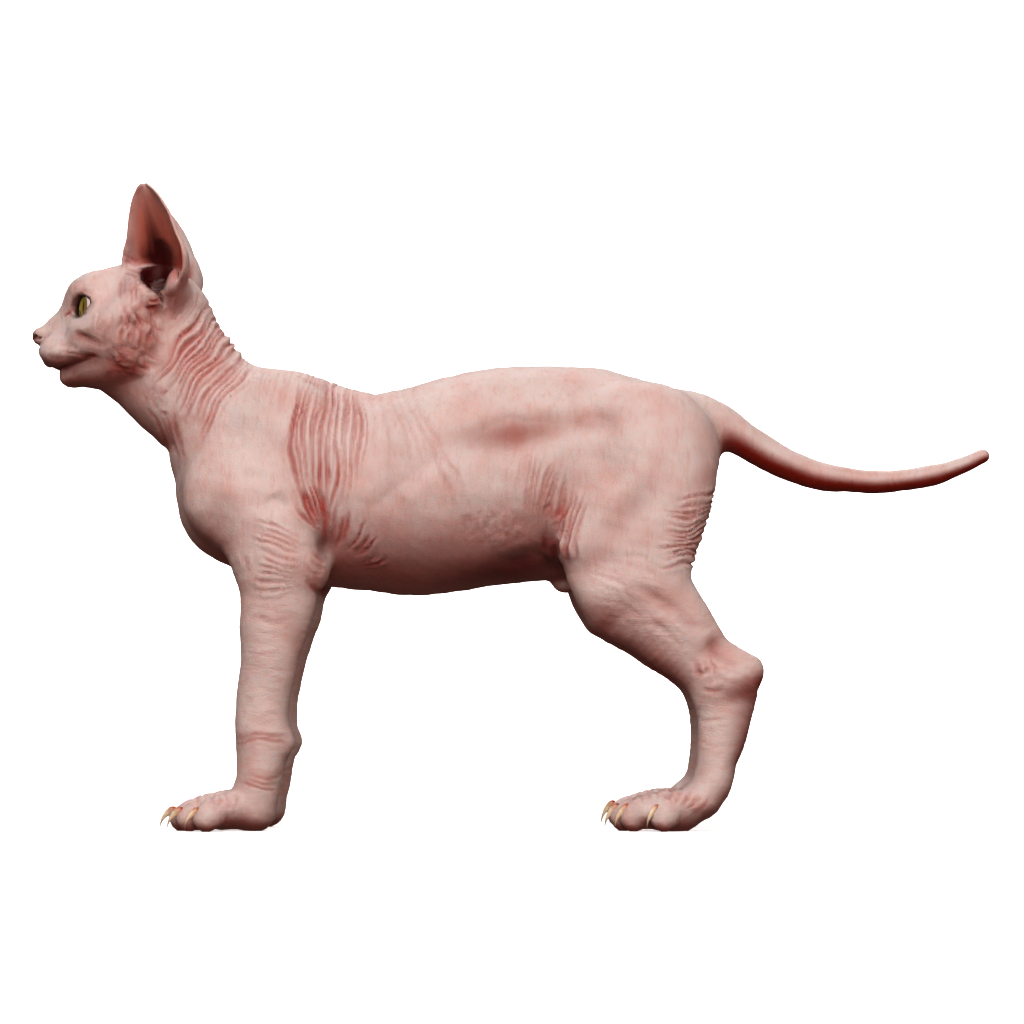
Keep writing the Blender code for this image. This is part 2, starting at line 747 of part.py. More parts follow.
def claw(foot, root, tip, sign):
    """A curved spike from deep in a toe's end down to just above the floor."""
    mesh = bmesh.new()
    made = bmesh.ops.create_cone(mesh, cap_ends=True, segments=CLAW_SIDES, radius1=1, radius2=1,
                                 depth=1)
    rungs = [e for e in mesh.edges if abs(e.verts[0].co.z - e.verts[1].co.z) > 0.5]
    bmesh.ops.subdivide_edges(mesh, edges=rungs, cuts=CLAW_RINGS - 1)
    ahead = Vector((tip[0] - root[0], sign * (tip[1] - root[1]), 0)).normalized()
    side, up = Vector((-ahead.y, ahead.x, 0)), Vector((0, 0, 1))
    starts, reach, top, depth, width = CLAWS[foot]
    start = Vector((tip[0], sign * tip[1], top)) + ahead * starts
    root_share, gain = CLAW_ROOT
    for vert in mesh.verts:
        travel = vert.co.z + 0.5
        bend = travel * math.pi / 2
        down = (top - CLAW_TIP_HEIGHT) * (1 - math.cos(bend))
        spine = start + ahead * reach * math.sin(bend) - up * down
        swell = root_share + (1 - root_share) * min(travel / gain, 1)
        thick = max((1 - travel) ** CLAW_TAPER * swell, CLAW_POINT)
        lift = ahead * math.sin(bend) + up * math.cos(bend)
        vert.co = spine + (lift * vert.co.y * depth + side * vert.co.x * width) * thick
    bmesh.ops.recalc_face_normals(mesh, faces=mesh.faces)
    return mesh


def fuse(thing, pieces, home):
    """Join closed pieces to a node with one union."""
    bundle = collection("fused_" + thing.name)
    joined = [new_object("piece", piece, bundle) for piece in pieces]
    modify(thing, "BOOLEAN", operand_type="COLLECTION", collection=bundle, operation="UNION",
           solver="EXACT")
    apply_modifiers(thing)
    for piece in joined:
        bpy.data.objects.remove(piece)
    bpy.data.collections.remove(bundle)


def finish(thing, look):
    """Back to metres, smooth shaded, with the piece's own material."""
    thing.data.transform(Matrix.Scale(MM, 4))
    thing.data.polygons.foreach_set("use_smooth", [True] * len(thing.data.polygons))
    colour, roughness = look
    material = bpy.data.materials.new(thing.name)
    material.use_nodes = True
    shader = material.node_tree.nodes["Principled BSDF"]
    shader.inputs["Base Color"].default_value = (*colour, 1)
    shader.inputs["Roughness"].default_value = roughness
    shader.inputs["Metallic"].default_value = 0
    thing.data.materials.clear()
    thing.data.materials.append(material)


def build():
    for thing in list(bpy.data.objects):
        bpy.data.objects.remove(thing)
    home, workshop = collection("sphynx_cat"), collection("cutters")
    nodes = part_body(wrapped_body(home), home)
    head = nodes["head"]
    for name, sign in (("left", -1), ("right", 1)):
        ear = new_object(name + "_ear", ear_cup(sign, workshop), home)
        subtract(ear, [head_swollen(head)], workshop)
        nodes[name + "_ear"] = ear
    cuts = [mouth_cutter(workshop)]
    for name, sign in (("left", -1), ("right", 1)):
        cuts += [nostril_cutter(sign), lid_opening(sign), eye_ball(sign, EYE_RADIUS + CUT)]
        nodes[name + "_eye"] = new_object(name + "_eye", eye_ball(sign, EYE_RADIUS), home)
        for foot, toes in (("fore", FORE_TOES), ("hind", HIND_TOES)):
            claws = [claw(foot, root, tip, sign) for root, tip in toes.values()]
            fuse(nodes[name + "_" + foot + "_paw"], claws, workshop)
    subtract(head, cuts, workshop)
    for name, thing in nodes.items():
        keep_largest(thing)
        finish(thing, EYE if "eye" in name else EAR_SKIN if "ear" in name else FLESH)


build()
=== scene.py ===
"""The looks of a standing sphynx cat: one wrinkled skin, its eyes and its claws, round the solids.

Shapes are worked out in millimetres and become metres when a piece is finished. The cat faces -X
with its left side at -Y, and where both sides are alike the right side (+Y) stands for both.
"""

import math

import bmesh
import bpy
import numpy as np
from mathutils import Matrix, Vector, noise
from mathutils.bvhtree import BVHTree


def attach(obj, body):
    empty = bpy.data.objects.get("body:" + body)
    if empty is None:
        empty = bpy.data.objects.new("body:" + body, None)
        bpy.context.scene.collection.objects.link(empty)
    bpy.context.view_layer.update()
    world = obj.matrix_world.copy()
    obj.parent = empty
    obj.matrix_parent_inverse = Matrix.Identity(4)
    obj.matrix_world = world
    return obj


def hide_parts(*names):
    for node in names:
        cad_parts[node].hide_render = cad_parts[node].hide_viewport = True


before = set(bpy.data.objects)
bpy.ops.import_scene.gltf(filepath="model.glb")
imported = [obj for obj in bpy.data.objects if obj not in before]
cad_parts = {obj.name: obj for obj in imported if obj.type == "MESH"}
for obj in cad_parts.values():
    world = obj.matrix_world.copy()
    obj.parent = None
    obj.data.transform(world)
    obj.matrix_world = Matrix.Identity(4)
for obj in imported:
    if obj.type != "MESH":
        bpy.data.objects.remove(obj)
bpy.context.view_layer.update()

MM = 0.001
scene = bpy.context.scene

# The camera: metres of the cat's middle plane to a pixel of a 1024 pixel view, how far off it
# stands, how steeply it looks up, and the height that it aims at.
PIXEL = 0.00056
VIEW_PIXELS = 1024
SENSOR = 36
STAND_OFF = 1.7
LOOKS_UP = math.radians(4)
AIM_HEIGHT = 0.1765


def set_camera():
    data = bpy.data.cameras.new("camera")
    data.sensor_width = SENSOR
    data.lens = SENSOR * STAND_OFF / (VIEW_PIXELS * PIXEL)
    camera = bpy.data.objects.new("camera", data)
    gaze = Vector((0, math.cos(LOOKS_UP), math.sin(LOOKS_UP)))
    camera.location = Vector((0, 0, AIM_HEIGHT)) - gaze * STAND_OFF
    camera.rotation_euler = gaze.to_track_quat("-Z", "Y").to_euler()
    scene.collection.objects.link(camera)
    scene.camera = camera


set_camera()

# A tube is a blend radius and its stations: x, y, z, half depth, half width.
TUBES = {
    "torso": (14, [
        (-150, 0, 202, 50, 33),
        (-125, 0, 195, 56, 42),
        (-100, 0, 190.5, 56, 46),
        (-78, 0, 187, 54.5, 48.5),
        (-53, 0, 188, 58.3, 50),
        (-26, 0, 193.5, 60, 49.5),
        (0, 0, 197.3, 60.3, 47),
        (27, 0, 198.5, 60, 43),
        (52, 0, 201, 56, 38),
        (75, 0, 207, 44.5, 34),
        (87, 0, 213, 33, 29),
    ]),
    "neck": (14, [
        (-201, 0, 270, 36, 25),
        (-182.5, 0, 247.8, 34.8, 27),
        (-165, 0, 229.3, 33, 31),
        (-152.5, 0, 213, 39.5, 34),
    ]),
    "tail": (8, [
        (84, 0, 228, 15, 15),
        (100, 0, 230.5, 14, 13.5),
        (112, 0, 228, 12, 12),
        (121.8, 0, 222.4, 10.8, 10.8),
        (135.2, 0, 213.9, 9.5, 9.5),
        (148.7, 0, 206.1, 8.8, 8.8),
        (162, 0, 200.2, 8.1, 8.1),
        (175.6, 0, 196.3, 7.8, 7.8),
        (202.4, 0, 193.2, 6.7, 6.7),
        (229.3, 0, 196, 5.6, 5.6),
        (249.5, 0, 201.4, 4.8, 4.8),
        (264.2, 0, 208, 4, 4),
    ]),
    "upper_arm": (12, [
        (-142, 30, 184, 32, 17),
        (-133, 33, 162, 27, 17),
        (-127, 34, 146, 24, 16.5),
    ]),
    "forearm": (8, [
        (-126.7, 34, 146, 24, 16.5),
        (-127.9, 34, 131.7, 21.3, 16),
        (-128.8, 34, 120.7, 20.2, 15.5),
        (-130.8, 34, 109.6, 18.3, 15),
        (-133.8, 34, 87.5, 15.4, 13.5),
        (-136.2, 34, 72, 14.6, 13),
        (-136.6, 34, 59.9, 14.6, 13.5),
        (-135.5, 34, 48.3, 14.8, 14),
        (-136.8, 34, 37.8, 13.4, 13.8),
        (-138.3, 34, 26.7, 12.6, 14),
    ]),
    "fore_palm": (6, [
        (-140, 34, 17, 11.5, 14),
        (-149, 34, 12, 10.5, 15.5),
        (-158.5, 34, 10, 9.5, 16.5),
    ]),
    "thigh": (12, [
        (82.5, 22, 208, 31, 20),
        (76.5, 27, 190, 35, 22),
        (69.5, 32, 170, 36, 21),
        (65.5, 34.5, 152, 34.5, 19),
        (64.5, 36, 138, 32, 17.5),
    ]),
    "shank": (9, [
        (63.5, 36, 131.5, 28.5, 17),
        (80.5, 36, 117, 24, 15.5),
        (89.5, 36, 107, 21.5, 14),
        (98.1, 36, 97.1, 17.5, 12.5),
        (106.5, 36, 87.5, 15, 11.5),
        (112.5, 36, 80.5, 15, 11),
    ]),
    "tendon": (5, [
        (94.2, 36, 124.4, 8, 8),
        (106.2, 36, 109.4, 6, 6),
        (117.2, 36, 99.7, 4, 4.6),
        (130.2, 36, 90.4, 5, 5.5),
    ]),
    "metatarsus": (7, [
        (117.2, 36, 82, 17.5, 11),
        (116.6, 36, 72, 16.5, 10.5),
        (115.8, 36, 60, 14.6, 10.5),
        (114.1, 36, 49, 12.9, 10.5),
        (111.4, 36, 38, 11, 11),
        (109.4, 36, 27, 11, 12.5),
        (105.2, 36, 20, 10.5, 13),
    ]),
    "hind_palm": (6, [
        (102, 36, 15.5, 9.5, 12.5),
        (92.5, 36, 12, 10.2, 14.5),
        (81.5, 36, 11, 9.8, 15.5),
        (72.5, 36, 10, 9, 16),
    ]),
    "nose_bridge": (6, [
        (-232, 0, 290, 11, 13),
        (-246, 0, 285.5, 8, 9.5),
        (-256, 0, 280.3, 6.6, 7.5),
        (-262.5, 0, 276.3, 5.3, 6.5),
    ]),
    "upper_lip": (5, [
        (-253, 8, 265.5, 7.5, 8),
        (-243, 13, 266, 8, 8),
        (-231, 19, 268, 8.5, 8.5),
        (-219, 24, 271, 10, 8),
    ]),
    "jaw": (6, [
        (-246, 4, 253.3, 6, 6),
        (-238, 10, 254, 6.8, 7.5),
        (-226, 17, 256.5, 9, 8.5),
        (-212, 22, 263, 12, 9),
    ]),
    "cheekbone": (6, [
        (-241, 19, 276, 6, 6),
        (-229, 27, 278, 6, 6),
        (-215, 30, 284, 6.5, 6),
        (-203, 29, 293, 7, 6),
    ]),
}
# A ball is a blend radius, its centre, its radii, and its pitch in degrees, nose down.
BALLS = {
    "breast": (12, (-150.5, 0, 178), (33, 30, 30), 0),
    "withers": (12, (-130, 0, 233), (30, 15, 22), 0),
    "shoulder_blade": (14, (-122, 27, 215), (26, 15, 38), 20),
    "shoulder": (12, (-150, 29, 184), (30, 17, 27), 0),
    "triceps": (10, (-121, 34, 170), (21, 15, 28), -25),
    "elbow": (6, (-109.5, 34, 143), (8, 9, 10), 0),
    "haunch": (14, (74.5, 26, 212), (34, 19, 34), 0),
    "buttock": (9, (88.5, 26, 191), (17.5, 18, 31), 0),
    "flank_fold": (12, (42, 36, 152), (15, 9, 24), 20),
    "stifle": (8, (51, 37, 129.5), (15, 15, 15), 0),
    "hock": (6, (120, 36, 83), (13, 10.5, 12), 0),
    "heel_bone": (4, (131, 36, 86.5), (6.5, 6.5, 7), 0),
    "carpal_pad": (4, (-124.5, 36, 48), (5, 5, 6), 0),
    "fore_heel": (5, (-140, 34, 9.5), (11, 13.5, 10), 0),
    "hind_heel": (5, (89, 36, 8.3), (12, 12, 9), 0),
    "cranium": (10, (-207, 0, 289), (35, 28, 29), 0),
    "forehead": (8, (-232.8, 0, 293.5), (19, 20, 18), 0),
    "brow": (8, (-234, 14, 301), (12, 9, 7), 14),
    "muzzle": (8, (-243, 0, 273), (17, 14, 13), 12),
    "cheek": (8, (-215, 22, 275), (18, 12.5, 18), 0),
    "whisker_pad": (4, (-252.7, 8.5, 266), (12.3, 9.5, 8.3), 0),
    "nose_tip": (3, (-264.6, 0, 275.3), (5, 6.6, 5), 0),
    "philtrum": (3, (-259, 0, 265.5), (6, 6, 8), 0),
    "chin": (4, (-247.3, 0, 252.6), (7.2, 9.5, 6.2), 0),
    "throat": (10, (-219, 0, 262), (21, 18.5, 18.5), 0),
    "ear_base": (9, (-195, 23, 300), (16, 10, 11), 0),
    "sheath": (4, (30, 0, 138), (8, 5, 7), 0),
    "tragus": (3.5, (-187, 34, 302), (3, 4, 7.5), -15),
}


# A distance beyond any in the cat, in millimetres, and the least slope that a distance is divided by.
OUT_OF_REACH = 1e3
LEAST_SLOPE = 1e-6


def resample(stations, steps):
    """Stations along a smooth curve that passes through every given one."""
    points = np.array(stations, float)
    ends = np.vstack([2 * points[0] - points[1], points, 2 * points[-1] - points[-2]])
    rows = []
    for i in range(len(points) - 1):
        before, here, after, beyond = ends[i:i + 4]
        for t in np.arange(steps) / steps:
            rows.append(0.5 * (2 * here + (after - before) * t
                               + (2 * before - 5 * here + 4 * after - beyond) * t ** 2
                               + (3 * here - before - 3 * after + beyond) * t ** 3))
    return np.array(rows + [points[-1]])


def folded_over(points):
    """Points brought to the right side, which stands for both."""
    return points * (1, 0, 1) + np.abs(points) * (0, 1, 0)


def far_from(points, place):
    return np.linalg.norm(points - np.array(place), axis=1)


def ellipsoid_distance(offset, radii):
    """Rough distance to an ellipsoid, exact at its surface."""
    near = np.linalg.norm(offset / radii, axis=-1)
    steep = np.linalg.norm(offset / radii ** 2, axis=-1)
    return near * (near - 1) / np.maximum(steep, LEAST_SLOPE)


def ball_distance(points, centre, radii, pitch):
    angle = math.radians(pitch)
    offset = points - np.array(centre, float)
    x = offset[:, 0] * math.cos(angle) + offset[:, 2] * math.sin(angle)
    z = offset[:, 2] * math.cos(angle) - offset[:, 0] * math.sin(angle)
    return ellipsoid_distance(np.column_stack([x, offset[:, 1], z]), np.array(radii, float))


def tube_frame(start, end):
    """Unit directions along a tube's stretch, across its depth and across its width."""
    along = (end - start) / np.linalg.norm(end - start)
    depth = np.cross((0, 1, 0), along)
    depth /= np.linalg.norm(depth)
    return along, depth, np.cross(along, depth)


def tube_distance(points, stations):
    best = np.full(len(points), OUT_OF_REACH)
    for start, end in zip(stations[:-1], stations[1:]):
        along, depth, width = tube_frame(start[:3], end[:3])
        length = np.linalg.norm(end[:3] - start[:3])
        travel = np.clip((points - start[:3]) @ along / length, 0, 1)
        offset = points - start[:3] - travel[:, None] * (end[:3] - start[:3])
        half_depth = start[3] + travel * (end[3] - start[3])
        half_width = start[4] + travel * (end[4] - start[4])
        radii = np.column_stack([np.minimum(half_depth, half_width), half_depth, half_width])
        local = np.column_stack([offset @ along, offset @ depth, offset @ width])
        best = np.minimum(best, ellipsoid_distance(local, radii))
    return best


def line_distance(points, line):
    """Distance to a line of points, and how far along it the nearest place is, from 0 to 1."""
    best, where = np.full(len(points), OUT_OF_REACH), np.zeros(len(points))
    steps = len(line) - 1
    for i, (start, end) in enumerate(zip(line[:-1], line[1:])):
        stretch = end - start
        travel = np.clip((points - start) @ stretch / (stretch @ stretch), 0, 1)
        gap = np.linalg.norm(points - start - travel[:, None] * stretch, axis=1)
        closer = gap < best
        best[closer] = gap[closer]
        where[closer] = (i + travel[closer]) / steps
    return best, where


def blend(a, b, radius):
    """The union of two distances, rounded where they meet."""
    overlap = np.maximum(radius - np.abs(a - b), 0) / radius
    return np.minimum(a, b) - overlap ** 2 * radius / 4


def cut(value, hollow, radius):
    return -blend(-value, hollow, radius)


# Toes and their claws: where a toe leaves the palm and where its end pad lies, in x and y.
FORE_TOES = {
    "fifth": ((-151, 44.5), (-166, 49.5)),
    "fourth": ((-156, 38.5), (-176, 41.5)),
    "third": ((-156, 31), (-181, 32)),
    "second": ((-151, 24.5), (-174, 22.5)),
}
HIND_TOES = {
    "fifth": ((92, 45), (81, 50.5)),
    "fourth": ((84, 40), (65, 43)),
    "third": ((84, 32.5), (60, 33.5)),
    "second": ((90, 27), (68, 25)),
}
# Along a toe from the palm to the end pad: how far along, height, half depth and half width.
TOE_PROFILE = {
    "fore": [(0, 13, 8.5, 7), (0.45, 12.3, 7.6, 6), (0.8, 8.8, 7.6, 6.3), (1, 6.2, 6.9, 5.8)],
    "hind": [(0, 13.5, 8, 7), (0.45, 12.6, 7.4, 6), (0.8, 9.2, 7.8, 6.4), (1, 6.2, 6.9, 5.8)],
}
TOE_BLEND = 1.4
# A claw: how far ahead of the toe's middle it starts, how far it reaches from there, the height of
# its root, and half its depth and width there.
CLAWS = {"fore": (1.5, 9.5, 11.5, 3.4, 2.1), "hind": (0.5, 9.0, 13.0, 3.8, 2.2)}
CLAW_TIP_HEIGHT = 0.9
CLAW_SIDES = 16
CLAW_RINGS = 14
DEWCLAW_KNOB = (4, (-146, 22.5, 27), (5, 3.6, 6), 0)

EYE_RADIUS = 10
EYE_CENTRE = Vector((-230.8, 17, 288.7))
EYE_LOOKS = Vector((-0.87, 0.48, 0.06)).normalized()
LID_THICKNESS = 1.4
LID_BLEND = 2
# The hollow behind the lids: the radius of its round bed, which lies inside the eyeball, how far
# ahead of the eye's middle it starts, and how round its edge is.
EYE_BED = 6.6
EYE_HOLLOW_START = 2
EYE_HOLLOW_ROUND = 0.4
# How far the eyeball is set forward along the gaze.
EYE_FORWARD = 0.9
# The opening between the lids, seen along the gaze: half its length, its rise and its drop, how
# much further it runs to the tear duct, its tilt, and the powers that make it an almond.
EYE_SLIT = (8.2, 5.8, 5.2)
TEAR_DUCT = 0.8
EYE_SLIT_TILT = 16
ALMOND_POWERS = (1.6, 0.55)
# The iris, how far ahead of the eye's middle it lies and how much it bulges, and half the width
# and height of its pupil.
IRIS_RADIUS = 6.1
IRIS_DEPTH = 7.4
IRIS_BULGE = 0.5
PUPIL = (0.75, 4.2)
# The clear dome over it, with its centre and its edge as places along the gaze.
CORNEA_RADIUS = 7.6
CORNEA_CENTRE = 3.5
CORNEA_EDGE = 7.2


def toe_stations(foot, root, tip):
    rows = []
    for travel, height, depth, width in TOE_PROFILE[foot]:
        x = root[0] + travel * (tip[0] - root[0])
        y = root[1] + travel * (tip[1] - root[1])
        rows.append((x, y, height, depth, width))
    return rows


# The cup of the ear: an upright trough whose mouth is turned forwards and outwards.
EAR_FOOT = Vector((-198.5, 27, 300))
EAR_TIP = Vector((-203.5, 39, 355.5))
EAR_TURN = 37
EAR_HALF_WIDTH = 22.5
EAR_CUP_DEPTH = 16
EAR_ARC = 80
EAR_BLEND = 2.5
# How thick its wall is at the foot and at the tip.
EAR_WALL = (2.2, 1.3)
# How far its sheet starts below the foot, as a share of its height. Its last row ends just under
# the tip, and its rows crowd towards the tip by a power.
EAR_SUNK = 0.28
EAR_TOP = 0.995
EAR_CROWDING = 1.25
# The outline: its width at the foot, how much it swells and up to where, and the powers of its tip.
EAR_SWELL = (0.92, 0.14, 0.5)
EAR_ROUND = (2.3, 0.62)
# Towards the foot the rims draw together, by a share, below a height, over a length, by a power.
EAR_GATHER = (0.62, 0.12, 0.4, 1.4)
EAR_FOOT_BACK = 9
EAR_LEAST_WIDTH = 0.1
EAR_LEANS_BACK = 2.5
# The cup is shallower towards the tip, by a share, and where it is narrow.
EAR_FLATTENS = 0.75
EAR_NARROW_DEPTH = 0.35
# The box round the right ear, the faces along each side of the sheet that distances are measured
# to, and the steps of a rim.
EAR_LOW, EAR_HIGH = np.array((-235, 2, 280)), np.array((-160, 70, 365))
EAR_SHEET_FACES = 40
EAR_RIM_STEPS = 12
# Hollows cut into the head: a blend radius, a centre, radii and pitch.
HOLLOWS = {
    "concha": (2, (-197, 28, 309), (8, 9, 16), 0),
    "ear_canal": (2, (-195, 24, 298), (5, 8, 8), 0),
    "nostril": (0.5, (-267.6, 3.9, 274.6), (3.2, 1.5, 1.3), 20),
    "nostril_slit": (0.5, (-265, 6.2, 273.6), (2.6, 1.2, 0.8), 10),
}
HOLLOW_REACH = 6
# The line of the mouth from the middle to the right corner, before it is drawn onto the face, how
# deep and how round its groove is, and the zone that it lies in: ahead of x, and round a height.
MOUTH_LINE = [(-256, 0, 259.5), (-254, 5, 258.6), (-249, 11, 258.4), (-241, 17, 259.4),
              (-234.5, 21.5, 261.3), (-229.5, 24.5, 263.2)]
MOUTH_GROOVE = 0.8
MOUTH_ROUND = 0.8
MOUTH_ZONE = (-222, 260, 12)

